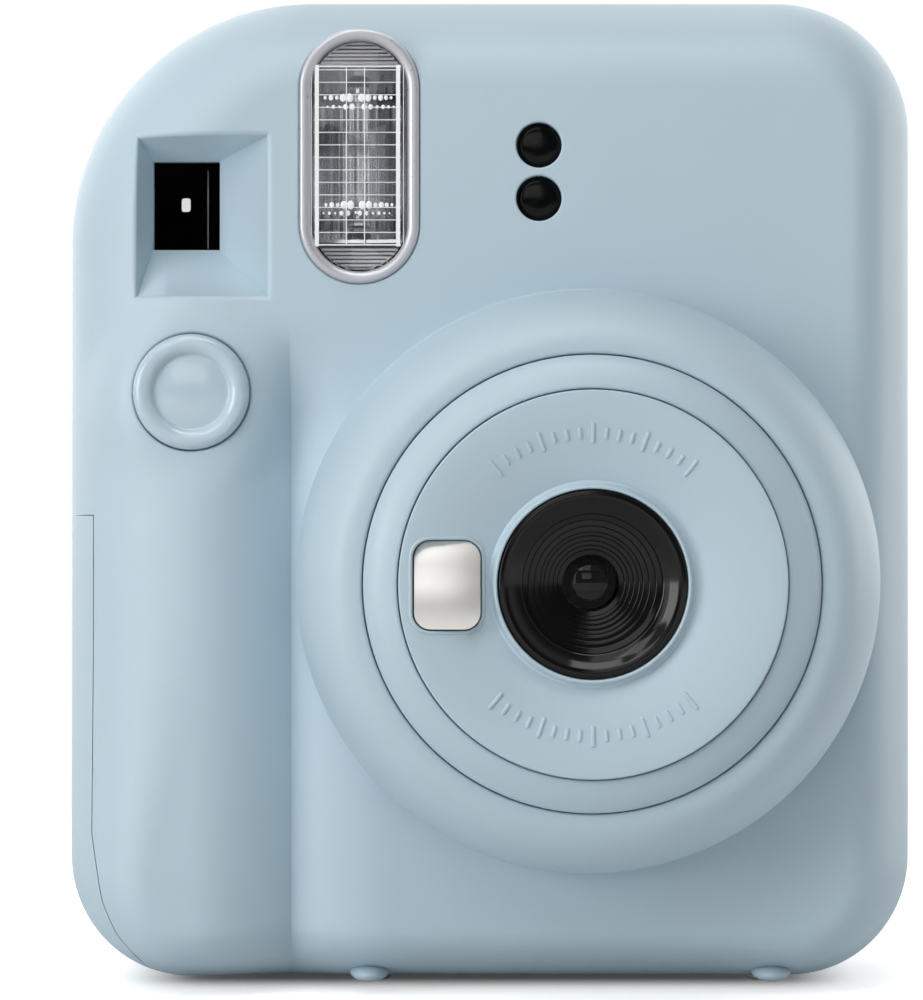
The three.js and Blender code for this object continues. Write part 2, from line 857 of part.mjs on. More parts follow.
function make_screw(x, z) {
  const under_head = body.back - screw.head_height;
  const profile = [
    [0, under_head - screw.length],
    [screw.shank, under_head - screw.length],
    [screw.shank, under_head],
    [screw.head, under_head],
    [screw.head, body.back - clearance],
    [0, body.back - clearance],
  ];
  return turned(profile, "y", [x, 0, z], small_sides);
}

// The hinge: a pin through two knuckles on the door and a lug of the cover beyond each end
function knuckle_places() {
  return [
    door.bottom + hinge.lug_length + hinge.knuckle_inset,
    door.top - hinge.lug_length - hinge.knuckle_inset - hinge.knuckle_length,
  ];
}

function lug_places() {
  const [low, high] = knuckle_places();
  return [low - clearance - hinge.lug_length, high + hinge.knuckle_length + clearance];
}

function hinge_bore([from, to]) {
  const span = [from - overrun, to + overrun];
  return rod(hinge.pin + clearance, span, "z", [hinge.x, hinge.y, 0], small_sides);
}

function make_hinge_lug(z) {
  const span = [z, z + hinge.lug_length];
  const web_y = around(hinge.y - hinge.knuckle / 2, hinge.knuckle);
  const web = block([hinge.x, hinge.x + 2 * hinge.knuckle], web_y, span);
  const boss = rod(hinge.knuckle, span, "z", [hinge.x, hinge.y, 0], small_sides);
  return boss.add(web.intersect(back_full)).subtract(hinge_bore(span));
}

function door_window_outline(grown) {
  const width = door.window_width + 2 * grown;
  const height = door.window_height + 2 * grown;
  return rounded_rectangle(door.window_x, door.window_z, width, height, door.window_corner + grown);
}

function make_back_door() {
  const half_x = (door.right - door.left) / 2;
  const half_z = (door.top - door.bottom) / 2;
  const centre_x = (door.right + door.left) / 2;
  const centre_z = (door.top + door.bottom) / 2;
  const height = (x, z) => {
    const across = 1 - ((x - centre_x) / half_x) ** 4;
    const up = 1 - ((z - centre_z) / half_z) ** 4;
    return body.back + door.crown * across * up;
  };
  const rows = eased(door.steps).map((share) => THREE.MathUtils.lerp(door.bottom, door.top, share));
  const shares = () => eased(door.steps);
  let made = relief(rows, shares, () => door.left, () => door.right, height, door.inner, 1);
  for (const z of knuckle_places()) {
    const span = [z, z + hinge.knuckle_length];
    const arm = block([door.right - overrun, hinge.x], [door.inner, hinge.y + hinge.knuckle / 2], span);
    const knuckle = rod(hinge.knuckle, span, "z", [hinge.x, hinge.y, 0], small_sides);
    made = made.add(arm).add(knuckle).subtract(hinge_bore(span));
  }
  const window = door_window_outline(clearance);
  const beyond = body.back + 2 * door.crown;
  made = made.subtract(plate(window, [door.inner + thin_wall, beyond], small_sides / 2));
  const pocket_y = [door.inner + latch.floor, beyond];
  return made.subtract(block([latch.left, latch.right], pocket_y, [latch.bottom, latch.top]));
}

function make_latch() {
  const back = door.inner + latch.floor + clearance;
  const left = latch.left + clearance;
  const middle = (latch.bottom + latch.top) / 2;
  const face = back + latch.depth;
  const height = around(middle, latch.height);
  let made = block([left, left + latch.width], [back, face + latch.ridge], height);
  const groove = latch.width * latch.groove_share;
  const groove_z = around(middle, latch.height - 2 * groove);
  for (const share of latch.groove_starts) {
    const x = left + share * latch.width;
    made = made.subtract(block([x, x + groove], [face, face + 2 * latch.ridge], groove_z));
  }
  return made;
}

// The lens assembly
function make_lens_ring() {
  const crest = ring.outer - (ring.outer - ring.inner) * ring.crest_share;
  const back = -housing.skirt - clearance;
  const profile = [
    [ring.inner, back],
    [ring.inner, ring.chamfer - ring.front],
    [ring.inner + ring.chamfer, -ring.front],
    [crest, -ring.front + ring.slope * ring.shoulder_share],
    [ring.outer, -ring.front + ring.slope],
    [ring.outer, back],
  ];
  return turned(profile, "y", [lens.x, 0, lens.z], fine_sides);
}

function make_barrel() {
  const plate_back = -barrel.front + barrel.dish + barrel.plate;
  const cell_outer = barrel.opening + wall;
  const skirt_inner = barrel.radius - barrel.skirt_wall;
  const profile = [
    [barrel.opening, -barrel.cell_end],
    [barrel.opening, collar_y],
    [barrel.opening + barrel.collar, collar_y],
    [barrel.opening + 2 * barrel.collar, -barrel.front + barrel.dish],
    [barrel.radius - 2 * barrel.rim, -barrel.front + barrel.rim],
    [barrel.radius - barrel.rim, -barrel.front],
    [barrel.radius, -barrel.front + barrel.rim],
    [barrel.radius, -barrel.skirt_end],
    [skirt_inner, -barrel.skirt_end],
    [skirt_inner, plate_back],
    [cell_outer, plate_back],
    [cell_outer, -barrel.cell_end],
  ];
  const made = turned(profile, "y", [lens.x, 0, lens.z], fine_sides);
  const pocket = [-barrel.front, mirror_seat];
  return made.subtract(plate(mirror_outline(clearance), pocket, small_sides / 4));
}

function mirror_outline(grown) {
  const width = mirror.width + 2 * grown;
  const height = mirror.height + 2 * grown;
  return rounded_rectangle(mirror.x, mirror.z, width, height, mirror.corner + grown);
}

const mirror_seat = -barrel.front + barrel.dish + mirror.thickness;

function make_mirror() {
  const span = [-barrel.front + mirror.proud, mirror_seat - clearance];
  return plate(mirror_outline(0), span, small_sides / 4);
}

const collar_y = -barrel.front + barrel.dish - barrel.collar_rise;
const throat_y = collar_y + bezel.front_inset + bezel.depth;
const glass_y = throat_y + thin_wall + clearance;
const aperture_y = glass_y + front_glass.thickness + clearance;
const blade_y = aperture_y + aperture.plate + clearance;
const rear_glass_y = blade_y + blade.thickness + 2 * clearance;

function make_bezel() {
  const outer = barrel.opening - clearance;
  const front = throat_y - bezel.depth;
  const profile = [
    [outer, -barrel.cell_end],
    [outer, front],
    [bezel.mouth, front],
  ];
  for (let i = 1; i <= bezel.steps; i++) {
    const before = bezel.mouth + ((bezel.throat - bezel.mouth) * (i - 1)) / bezel.steps;
    const after = bezel.mouth + ((bezel.throat - bezel.mouth) * i) / bezel.steps;
    const depth = front + (bezel.depth * i) / bezel.steps;
    profile.push([(before + after) / 2, depth - (bezel.depth / bezel.steps) * bezel.ledge_share]);
    profile.push([after, depth]);
  }
  profile.push([bezel.throat, throat_y + thin_wall]);
  profile.push([bezel.lens_bore, throat_y + thin_wall]);
  profile.push([bezel.lens_bore, -barrel.cell_end]);
  return turned(profile, "y", [lens.x, 0, lens.z], round_sides);
}

function make_glass(front, glass) {
  const radius = bezel.lens_bore - clearance;
  const profile = [
    [0, front],
    [radius * glass.flat_share, front],
    [radius, front + glass.bulge],
    [radius, front + glass.thickness],
    [0, front + glass.thickness],
  ];
  return turned(profile, "y", [lens.x, 0, lens.z], round_sides);
}

function make_aperture_plate() {
  const radius = bezel.lens_bore - clearance;
  const span = [aperture_y, aperture_y + aperture.plate];
  const disc = rod(radius, span, "y", [lens.x, 0, lens.z], round_sides);
  const opening = block(
    around(lens.x, 2 * aperture.half_opening),
    [span[0] - overrun, span[1] + overrun],
    around(lens.z, 2 * aperture.half_opening),
  );
  const pin_end = blade_y + blade.thickness + clearance;
  const pin_place = [lens.x + aperture.pin_x, 0, lens.z];
  const pin = rod(aperture.pin, [aperture_y, pin_end], "y", pin_place, small_sides / 2);
  return disc.subtract(opening).add(pin);
}

function make_blade() {
  const span = [blade_y, blade_y + blade.thickness];
  const place = [lens.x + aperture.pin_x, 0, lens.z];
  const arm = block([place[0] - blade.reach, place[0]], span, around(lens.z, 2 * blade.half_width));
  const hub = rod(blade.hub, span, "y", place, small_sides);
  const through = [span[0] - overrun, span[1] + overrun];
  const bore = rod(aperture.pin + clearance / 2, through, "y", place, small_sides / 2);
  return arm.add(hub).subtract(bore);
}

function make_sleeve() {
  const outer = barrel.radius - barrel.skirt_wall - clearance;
  const inner = outer - sleeve.wall;
  const flange_front = -housing.skirt + housing.lip_thickness + clearance;
  const flange_back = flange_front + sleeve.flange;
  const profile = [
    [inner, -sleeve.front],
    [outer, -sleeve.front],
    [outer, flange_front],
    [housing.bore - sleeve.flange_reach, flange_front],
    [housing.bore - sleeve.flange_reach, flange_back],
    [inner, flange_back],
  ];
  return turned(profile, "y", [lens.x, 0, lens.z], round_sides);
}

function make_dark_box() {
  const back = chassis_box.front - clearance;
  const box = (grown, extend) => {
    const ring_at = (y, width, height) =>
      rectangle_at(around(lens.x, width + 2 * grown), around(lens.z, height + 2 * grown), y);
    return loft([
      ring_at(-dark_box.front - extend, dark_box.front_width, dark_box.front_width),
      ring_at(back + extend, gate.width, gate.height),
    ]);
  };
  return box(thin_wall, 0).subtract(box(0, clearance));
}

// The chassis: the film chamber, the roller brackets and the shelves for the motor and the capacitor
function make_chassis() {
  const b = chassis_box;
  const rim = chamber.rim;
  let made = block([b.left, b.right], [b.front, rim], [b.bottom, b.top]);
  const flange_z = [chassis.flange_bottom, chassis.flange_top];
  made = made.add(block([chassis.flange_left, b.right], [rim - chassis.flange, rim], flange_z));
  const bracket_y = [reduction.y - 2 * roller.radius, roller_y[1] + roller.radius];
  const bracket_top = roller.z + roller.bracket_top;
  made = made.add(block([b.left, chamber.left], bracket_y, [b.top - chassis.wall, bracket_top]));
  const gear_side = [reduction.z - roller.radius, bracket_top];
  made = made.add(block([chamber.right, b.right], bracket_y, gear_side));
  const shelf_back = b.front + chassis.wall / 2;
  const motor_floor = motor.z - motor.radius - clearance;
  made = made.add(block(
    [b.right - shelf.motor_length, b.right],
    [motor.y - shelf.front, shelf_back],
    [motor_floor - shelf.thickness, motor_floor],
  ));
  const capacitor_floor = capacitor_z - capacitor.radius - clearance;
  made = made.add(block(
    [b.left, b.left + shelf.capacitor_length],
    [capacitor.y - shelf.front, shelf_back],
    [capacitor_floor - shelf.thickness, capacitor_floor],
  ));
  const axle = [chamber.right + chassis.wall / 2, gear_span[1] + clearance];
  made = made.add(rod(gear.bore, axle, "x", [0, reduction.y, reduction.z], small_sides));
  const chamber_z = [chamber.bottom, chamber.top];
  made = made.subtract(block([chamber.left, chamber.right], [chamber.front, rim + overrun], chamber_z));
  const gate_y = [b.front - overrun, film.front];
  made = made.subtract(block(around(lens.x, gate.width), gate_y, around(lens.z, gate.height)));
  const exit_z = [chamber.top - overrun, b.top + overrun];
  made = made.subtract(block(slot_x, around(roller.film_y, slot.depth), exit_z));
  const across = [b.left - overrun, b.right + overrun];
  for (const y of roller_y) {
    made = made.subtract(rod(roller.shaft + clearance, across, "x", [0, y, roller.z], small_sides));
  }
  const shaft_hole = [chamber.right - overrun, b.right + overrun];
  const shaft_radius = motor.shaft + clearance;
  made = made.subtract(rod(shaft_radius, shaft_hole, "x", [0, motor.y, motor.z], small_sides));
  const claw_y = around(roller.film_y, claw.hook + 2 * clearance);
  const claw_top = claw.bottom + claw.hook + claw.travel;
  made = made.subtract(block(shaft_hole, claw_y, [claw.bottom - clearance, claw_top + clearance]));
  for (const [x, z] of screw_places()) {
    const span = [rim - chassis.flange - overrun, rim + overrun];
    made = made.subtract(rod(screw.shank + clearance, span, "y", [x, 0, z], small_sides));
  }
  return made;
}

function make_film_pack() {
  const x = around(lens.x, film.width);
  const y = [film.front, film.front + film.depth];
  const z = [film.bottom, film.bottom + film.height];
  const pack = block(x, y, z);
  const window_y = [y[0] - overrun, y[0] + film.lip];
  const window = block(around(lens.x, gate.width), window_y, around(lens.z, gate.height));
  const exit_y = [y[0] + film.lip, y[0] + 2 * film.lip];
  const exit = block(slot_x, exit_y, [z[1] - film.lip, z[1] + overrun]);
  return pack.subtract(window).subtract(exit);
}

function make_roller(y) {
  const inner = [chamber.left + clearance, chamber.right - clearance];
  const drum = rod(roller.radius, inner, "x", [0, y, roller.z], small_sides);
  const shaft_x = [chassis_box.left - roller.end, gear_span[1]];
  const shaft = rod(roller.shaft, shaft_x, "x", [0, y, roller.z], small_sides);
  return drum.add(shaft).add(gear_wheel(teeth.roller, y, roller.z));
}

function gear_wheel(count, y, z) {
  const tip = pitch_radius(count) - gear.tip;
  const root = pitch_radius(count) - gear.root;
  const points = [];
  for (let i = 0; i < count; i++) {
    const step = turn / count;
    for (const [radius, start] of [
      [tip, i * step],
      [root, (i + gear.gap_share) * step],
    ]) {
      for (const angle of [start, start + gear.tooth_share * step]) {
        points.push([radius * Math.cos(angle), radius * Math.sin(angle)]);
      }
    }
  }
  const made = plate(polygon(points), [0, gear.width], small_sides);
  return made.rotate([0, 0, -90]).translate([gear_span[0], y, z]);
}

function make_reduction_gear() {
  const span = [gear_span[0] - overrun, gear_span[1] + overrun];
  const bore = rod(gear.bore + clearance, span, "x", [0, reduction.y, reduction.z], small_sides);
  return gear_wheel(teeth.reduction, reduction.y, reduction.z).subtract(bore);
}

const motor_span = [chamber.right - clearance - motor.length, chamber.right - clearance];

function make_motor() {
  const place = [0, motor.y, motor.z];
  const can = rod(motor.radius, motor_span, "x", place, round_sides);
  const bore = [motor_span[1] - motor.bore_depth - clearance, motor_span[1] + overrun];
  return can.subtract(rod(motor.shaft + clearance, bore, "x", place, small_sides));
}

function make_pinion() {
  const span = [motor_span[1] - motor.bore_depth, gear_span[1]];
  const shaft = rod(motor.shaft, span, "x", [0, motor.y, motor.z], small_sides);
  return shaft.add(gear_wheel(teeth.pinion, motor.y, motor.z));
}

function make_claw() {
  const x = [chassis_box.right + clearance, chassis_box.right + clearance + claw.thickness];
  const arm = block(x, around(roller.film_y, claw.width), [claw.bottom, claw.bottom + claw.length]);
  const hook_x = [chamber.right, x[1]];
  return arm.add(block(hook_x, around(roller.film_y, claw.hook), [claw.bottom, claw.bottom + claw.hook]));
}

// The flash: a pill of clear plastic, a trough behind it and the tube in the trough
function make_flash_window() {
  const width = flash.width - 2 * clearance;
  const pill = rounded_rectangle(flash.x, flash.z, width, flash.height - 2 * clearance, width / 2);
  return plate(pill, [-flash.front, -flash.front + flash.thickness], small_sides / 2);
}

const reflector_front = -flash.front + flash.thickness + clearance;

function make_reflector() {
  const half = flash.reflector_width / 2;
  const arc = (shrink) => {
    const points = [];
    for (let i = 0; i <= flash.reflector_steps; i++) {
      const angle = (turn / 2) * (i / flash.reflector_steps);
      const across = (half - shrink) * Math.cos(angle);
      points.push([flash.x + across, reflector_front + (flash.reflector_depth - shrink) * Math.sin(angle)]);
    }
    return points;
  };
  const shape = polygon([...arc(0), ...arc(flash.reflector_wall).reverse()]);
  const geometry = new THREE.ExtrudeGeometry(shape, { depth: flash.reflector_height, bevelEnabled: false });
  return solid(geometry.translate(0, 0, flash.z - flash.reflector_height / 2));
}

function make_flash_tube() {
  const y = reflector_front + flash.reflector_depth - flash.reflector_wall - clearance - flash.tube;
  const half = flash.reflector_height / 2 - flash.tube_margin;
  return rod(flash.tube, [flash.z - half, flash.z + half], "z", [flash.x, y, 0], small_sides);
}

function make_sensor_window(z) {
  const radius = sensor.hole - clearance;
  const front = sensor.face_inset - front_height(sensor.x, z);
  const under = wall + clearance - front_height(sensor.x, z);
  const profile = [
    [0, front],
    [radius, front],
    [radius, under],
    [radius + sensor.flange_reach, under],
    [radius + sensor.flange_reach, under + sensor.flange],
    [0, under + sensor.flange],
  ];
  return turned(profile, "y", [sensor.x, 0, z], small_sides);
}

function make_board() {
  const y = [-board.front, -board.front + board.thickness];
  return block([board.left, board.right], y, [board.bottom, board.top]);
}

// The finder's optics and tube
function make_objective() {
  const front = -finder.window + clearance;
  return block(
    [finder.left - wall / 2, finder.right + wall / 2],
    [front, front + finder.objective],
    [finder.bottom - wall / 2, finder.top + wall / 2],
  );
}

function make_finder_tube() {
  const front = -finder.window + finder.objective + 2 * clearance;
  const back = eyepiece_neck - clearance;
  const box = (grown, extend) =>
    block(
      around(finder.axis_x, finder.tube_width + grown),
      [front - extend, back + extend],
      around(finder.axis_z, finder.tube_height + grown),
    );
  return box(0, 0).subtract(box(-2 * thin_wall, overrun));
}

const eyepiece_neck = body.back - 2 * wall;

function make_eyepiece_frame() {
  const seat = body.back + clearance;
  const { width, height, corner: rounded } = eyepiece;
  const rim = rounded_rectangle(finder.axis_x, finder.axis_z, width, height, rounded);
  const flat = plate(rim, [seat, seat + eyepiece.proud - clearance], small_sides / 4);
  const neck = block(
    around(finder.axis_x, eyepiece.neck_width),
    [eyepiece_neck, seat + clearance],
    around(finder.axis_z, eyepiece.neck_height),
  );
  const opening = block(
    around(finder.axis_x, eyepiece.opening_width),
    [eyepiece_neck - overrun, seat + eyepiece.proud + overrun],
    around(finder.axis_z, eyepiece.opening_height),
  );
  return flat.add(neck).subtract(opening);
}

function make_eyepiece_lens() {
  return block(
    around(finder.axis_x, eyepiece.opening_width - 2 * clearance),
    [eyepiece_neck + clearance, eyepiece_neck + clearance + eyepiece.lens],
    around(finder.axis_z, eyepiece.opening_height - 2 * clearance),
  );
}

// The shutter button with its flange and stem, and the switch
const flange_y = -pad_height + wall + clearance;
const stem_end = flange_y + button.flange + button.travel;

function make_button() {
  const radius = button.hole - clearance;
  const front = -pad_height - button.proud;
  const profile = [
    [0, front + button.dish],
    [button.dish_radius - button.dish, front + button.dish],
    [button.dish_radius, front],
    [radius - button.rim_rounding, front],
    [radius, front + button.rim_rounding],
    [radius, flange_y],
    [radius + button.flange_reach, flange_y],
    [radius + button.flange_reach, flange_y + button.flange],
    [button.stem, flange_y + button.flange],
    [button.stem, stem_end],
    [0, stem_end],
  ];
  return turned(profile, "y", [button.x, 0, button.z], round_sides);
}

const switch_front = stem_end + button.travel + clearance;

function make_switch() {
  return block(
    around(button.x, button_switch.width),
    [switch_front, switch_front + button_switch.depth],
    around(button.z, button_switch.height),
  );
}

// The battery bay, the two cells that stand side by side in it, and their contacts
function make_holder() {
  const front = cell.y - cell.pitch / 2 - cell.radius / 2;
  const back = cell.y + cell.pitch / 2 + cell.radius;
  const height = [bay.floor - holder.wall, bay.ceiling + holder.wall];
  const upright = block([bay.right, bay.right + holder.wall], [front, back], height);
  const across = [holder.left, bay.right + holder.wall];
  const floor = block(across, [front, back], [bay.floor - holder.wall, bay.floor]);
  const roof = block(across, [front, back], [bay.ceiling, bay.ceiling + holder.wall]);
  const tab_front = switch_front + button_switch.depth + clearance;
  const tab = block(
    around(button.x, holder.tab_width),
    [tab_front, tab_front + holder.tab_thickness],
    [bay.ceiling, button.z + button_switch.height / 2],
  );
  return joined([upright, floor, roof, tab]);
}

function make_cell(y, flipped) {
  const top = cell.bottom + cell.length;
  const axis = [0, 0, 0];
  const can = rod(cell.radius, [cell.bottom, top - cell.nub_height], "z", axis, round_sides / 2);
  const both = can.add(rod(cell.nub, [cell.bottom, top], "z", axis, small_sides / 2));
  if (!flipped) return both.translate([cell.x, y, 0]);
  return both.rotate([180, 0, 0]).translate([cell.x, y, top + cell.bottom]);
}

function make_contact(z) {
  const half = cell.pitch / 2 + contact.width / 2;
  return block(around(cell.x, contact.width), [cell.y - half, cell.y + half], [z, z + contact.thickness]);
}

// The frame counter at the back
function make_counter_wheel() {
  const y = body.back - body.back_wall - clearance;
  const place = [counter.x, 0, counter.z];
  const wheel = rod(counter.radius, [y - counter.thickness, y], "y", place, round_sides);
  const span = [y - 2 * counter.thickness, y + overrun];
  return wheel.subtract(rod(counter.axle + clearance, span, "y", place, small_sides));
}

function make_counter_window() {
  const place = [counter.x, 0, counter.z + counter.window_rise];
  const span = [body.back - body.back_wall + clearance, body.back - clearance];
  return rod(counter.window, span, "y", place, small_sides);
}

// The strap bar in its pocket on the right side
function make_strap_pocket() {
  const x = [body.half_width - strap.depth, body.half_width - clearance];
  const inner = (size) => size - 2 * strap.wall;
  const outer_box = block(x, around(strap.y, strap.width), around(strap.z, strap.height));
  const hollow = block(
    [x[0] + strap.wall, x[1] + overrun],
    around(strap.y, inner(strap.width)),
    around(strap.z, inner(strap.height)),
  );
  return outer_box.subtract(hollow);
}

function make_strap_bar() {
  const half = strap.height / 2 - strap.wall - clearance;
  const place = [body.half_width - strap.bar_inset, strap.y, 0];
  return rod(strap.bar, [strap.z - half, strap.z + half], "z", place, small_sides);
}

function make_door_window() {
  const shape = door_window_outline(0);
  const from = door.inner + thin_wall + clearance;
  return plate(shape, [from, body.back + door.crown / 2 - door.window_sunk], small_sides / 2);
}

function make_pressure_pad(side) {
  const x = around(lens.x + side * pressure_pad.offset, pressure_pad.width);
  const back = door.inner - clearance;
  const front = film.front + film.depth + clearance;
  return block(x, [front, back], around(lens.z, pressure_pad.height));
}

function make_hinge_pin() {
  const [low, high] = lug_places();
  const span = [low - clearance, high + hinge.lug_length + clearance];
  return rod(hinge.pin, span, "z", [hinge.x, hinge.y, 0], small_sides);
}

function make_capacitor() {
  const place = [0, capacitor.y, capacitor_z];
  return rod(capacitor.radius, [capacitor.left, capacitor.right], "x", place, small_sides);
}

add("front_cover", make_front_cover(), "shell_blue");
add("rear_cover", make_rear_cover(), "shell_blue");
add("battery_door", make_battery_door(), "shell_blue");
add("back_door", make_back_door(), "shell_blue");
add("lens_ring", make_lens_ring(), "shell_blue");
add("lens_barrel", make_barrel(), "shell_blue");
add("shutter_button", make_button(), "shell_blue");
add("selfie_mirror", make_mirror(), "satin_metal");
add("lens_bezel", make_bezel(), "black_plastic");
add("front_lens", make_glass(glass_y, front_glass), "lens_glass");
add("rear_lens", make_glass(rear_glass_y, rear_glass), "lens_glass");
add("aperture_plate", make_aperture_plate(), "black_plastic");
add("shutter_blade", make_blade(), "black_plastic");
add("focus_sleeve", make_sleeve(), "black_plastic");
add("dark_box", make_dark_box(), "black_plastic");
add("chassis", make_chassis(), "black_plastic");
add("film_pack", make_film_pack(), "film_black");
add("drive_roller", make_roller(roller_y[0]), "steel");
add("pinch_roller", make_roller(roller_y[1]), "steel");
add("reduction_gear", make_reduction_gear(), "white_plastic");
add("motor_pinion", make_pinion(), "white_plastic");
add("film_motor", make_motor(), "steel");
add("film_claw", make_claw(), "steel");
add("flash_window", make_flash_window(), "clear_plastic");
add("flash_reflector", make_reflector(), "satin_metal");
add("flash_tube", make_flash_tube(), "clear_plastic");
add("flash_capacitor", make_capacitor(), "glossy_black");
add("sensor_window_upper", make_sensor_window(sensor.z), "glossy_black");
add("sensor_window_lower", make_sensor_window(sensor.z - sensor.pitch), "glossy_black");
add("circuit_board", make_board(), "board_green");
add("finder_objective", make_objective(), "glossy_black");
add("finder_tube", make_finder_tube(), "black_plastic");
add("eyepiece_frame", make_eyepiece_frame(), "black_plastic");
add("eyepiece_lens", make_eyepiece_lens(), "clear_plastic");
add("shutter_switch", make_switch(), "black_plastic");
add("battery_holder", make_holder(), "black_plastic");
add("battery_front", make_cell(cell.y - cell.pitch / 2, false), "cell_wrap");
add("battery_back", make_cell(cell.y + cell.pitch / 2, true), "cell_wrap");
add("battery_contact_bottom", make_contact(bay.floor + clearance), "steel");
add("battery_contact_top", make_contact(bay.ceiling - clearance - contact.thickness), "steel");
add("counter_wheel", make_counter_wheel(), "white_plastic");
add("counter_window", make_counter_window(), "clear_plastic");
add("strap_pocket", make_strap_pocket(), "shell_blue");
add("strap_bar", make_strap_bar(), "steel");
add("door_latch", make_latch(), "shell_blue");
add("door_window", make_door_window(), "clear_plastic");
add("hinge_pin", make_hinge_pin(), "steel");
add("pressure_pad_left", make_pressure_pad(-1), "steel");
add("pressure_pad_right", make_pressure_pad(1), "steel");
add("foot_front_left", make_foot(foot.left, foot.front_y), "shell_blue");
add("foot_front_right", make_foot(foot.right, foot.front_y), "shell_blue");
add("foot_back_left", make_foot(foot.left, foot.back_y), "shell_blue");
add("foot_back_right", make_foot(foot.right, foot.back_y), "shell_blue");
screw_places().forEach(([x, z], i) => add("cover_screw_" + (i + 1), make_screw(x, z), "steel"));

export default camera;
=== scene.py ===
import math
from types import SimpleNamespace as Sizes

import bmesh
import bpy
import numpy as np
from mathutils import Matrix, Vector
from mathutils.geometry import delaunay_2d_cdt


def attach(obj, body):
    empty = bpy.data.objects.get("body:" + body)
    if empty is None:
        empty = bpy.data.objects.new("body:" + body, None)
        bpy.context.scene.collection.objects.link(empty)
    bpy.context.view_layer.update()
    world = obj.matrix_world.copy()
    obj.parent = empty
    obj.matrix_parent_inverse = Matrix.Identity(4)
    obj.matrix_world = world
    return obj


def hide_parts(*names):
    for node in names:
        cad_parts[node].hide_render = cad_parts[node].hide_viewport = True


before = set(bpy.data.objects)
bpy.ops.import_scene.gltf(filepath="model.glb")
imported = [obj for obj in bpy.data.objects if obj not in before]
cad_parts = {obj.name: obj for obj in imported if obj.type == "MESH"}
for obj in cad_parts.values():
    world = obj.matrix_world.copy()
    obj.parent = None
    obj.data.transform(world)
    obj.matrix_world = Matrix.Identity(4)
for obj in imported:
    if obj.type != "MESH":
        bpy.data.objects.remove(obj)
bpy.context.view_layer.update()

# Everything is written in millimetres and turned into metres when a mesh is made
MM = 0.001
# Keeps a rounded end from closing to a line, and a sharp corner from having no arc
SMALL = 0.01
# The least that a cutter reaches past the surface that it opens
PAST = 1
COARSE = 1
SIDES = 256 // COARSE
FEW_SIDES = 64 // COARSE

# The shell, as in the part's source
HALF_WIDTH, BOTTOM, TOP = 52, 1, 121.6
MID, HALF_HEIGHT = (BOTTOM + TOP) / 2, (TOP - BOTTOM) / 2
WALL = 1.8
BACK_WALL = 2.2
CLEARANCE = 0.3
SEAM_GAP = 0.1
SEAM = 8
FACE = 14
ROUNDING_START = 4
BACK = 30.4
BACK_ROUNDING = 7
RADIUS = Sizes(top_left=30, top_right=16.5, bottom_left=15, bottom_right=15)
EDGE = Sizes(left=17, left_low=10.5, left_from=6, left_to=50, right=9, top=12, bottom=7.5)
EDGE_DEPTHS = [0, 0.02, 0.08, 0.18, 0.32, 0.5, 0.75, 1.1, 1.5]
FACE_DEPTHS = [2, 2.5, 3.2, 4, 5, 6, 7.5, 9, 10.5, 12]
GRIP = Sizes(crest=-35.8, crease=-24.1, rise=2.5, valley=4.0, valley_width=11.5, full=68, gone=82)
LENS = (11.6, 0, 50.2)
BUTTON = Sizes(x=-35.8, z=72.8, hole=7.08, margin=0.3, blend=6.5, flat_share=0.55, edge=0.35)


# Mesh building
def lifted(flat, y):
    """Points in X and Z placed at a depth, at a list of depths, or at those that a function gives"""
    flat = np.asarray(flat)
    level = y(flat[:, 0], flat[:, 1]) if callable(y) else np.broadcast_to(y, len(flat))
    return np.stack([flat[:, 0], level, flat[:, 1]], 1)


class Piece:
    """Vertices and faces of one piece, in millimetres"""

    def __init__(self):
        self.verts = []
        self.faces = []

    def ring(self, points):
        start = len(self.verts)
        self.verts.extend(tuple(map(float, p)) for p in points)
        return list(range(start, len(self.verts)))

    def bridge(self, a, b, closed=True):
        count = max(len(a), len(b))
        for i in range(count if closed else count - 1):
            j = (i + 1) % count
            if len(a) == 1:
                self.faces.append((a[0], b[j], b[i]))
            elif len(b) == 1:
                self.faces.append((a[i], a[j], b[0]))
            else:
                self.faces.append((a[i], a[j], b[j], b[i]))

    def bridges(self, rings, closed=True):
        for a, b in zip(rings, rings[1:]):
            self.bridge(a, b, closed)

    def cap(self, ring):
        self.faces.append(tuple(ring))

    def loop(self, flat, y):
        return self.ring(lifted(flat, y))


def rounded(points, radius, steps=4, closed=True, only=None):
    """A profile with its corners rounded, or only the corners listed"""
    made = []
    count = len(points)
    for i, point in enumerate(points):
        here = np.array(point, float)
        ends = not closed and i in (0, count - 1)
        if ends or (only is not None and i not in only):
            made.append(tuple(here))
            continue
        before = np.array(points[i - 1], float) - here
        after = np.array(points[(i + 1) % count], float) - here
        size = min(np.linalg.norm(before), np.linalg.norm(after))
        before, after = before / np.linalg.norm(before), after / np.linalg.norm(after)
        half = math.acos(np.clip(before @ after, -1, 1)) / 2
        if half > 1.5:
            made.append(tuple(here))
            continue
        run = min(radius / math.tan(half), 0.45 * size)
        centre = here + (before + after) / np.linalg.norm(before + after) * run / math.cos(half)
        start, end = here + before * run - centre, here + after * run - centre
        whole = math.acos(np.clip(start @ end / (start @ start), -1, 1))
        for k in range(steps + 1):
            t = k / steps
            arm = (start * math.sin((1 - t) * whole) + end * math.sin(t * whole)) / math.sin(whole)
            made.append(tuple(centre + arm))
    return made


def circle(radius, centre, sides, axis="y", along=0.0):
    turn = np.linspace(0, 2 * math.pi, sides, endpoint=False)
    u, v = radius * np.cos(turn), radius * np.sin(turn)
    x, y, z = centre
    flat = np.full(sides, float(along))
    if axis == "y":
        return np.stack([x + u, flat, z + v], 1)
    if axis == "x":
        return np.stack([flat, y + u, z + v], 1)
    return np.stack([x + u, y + v, flat], 1)


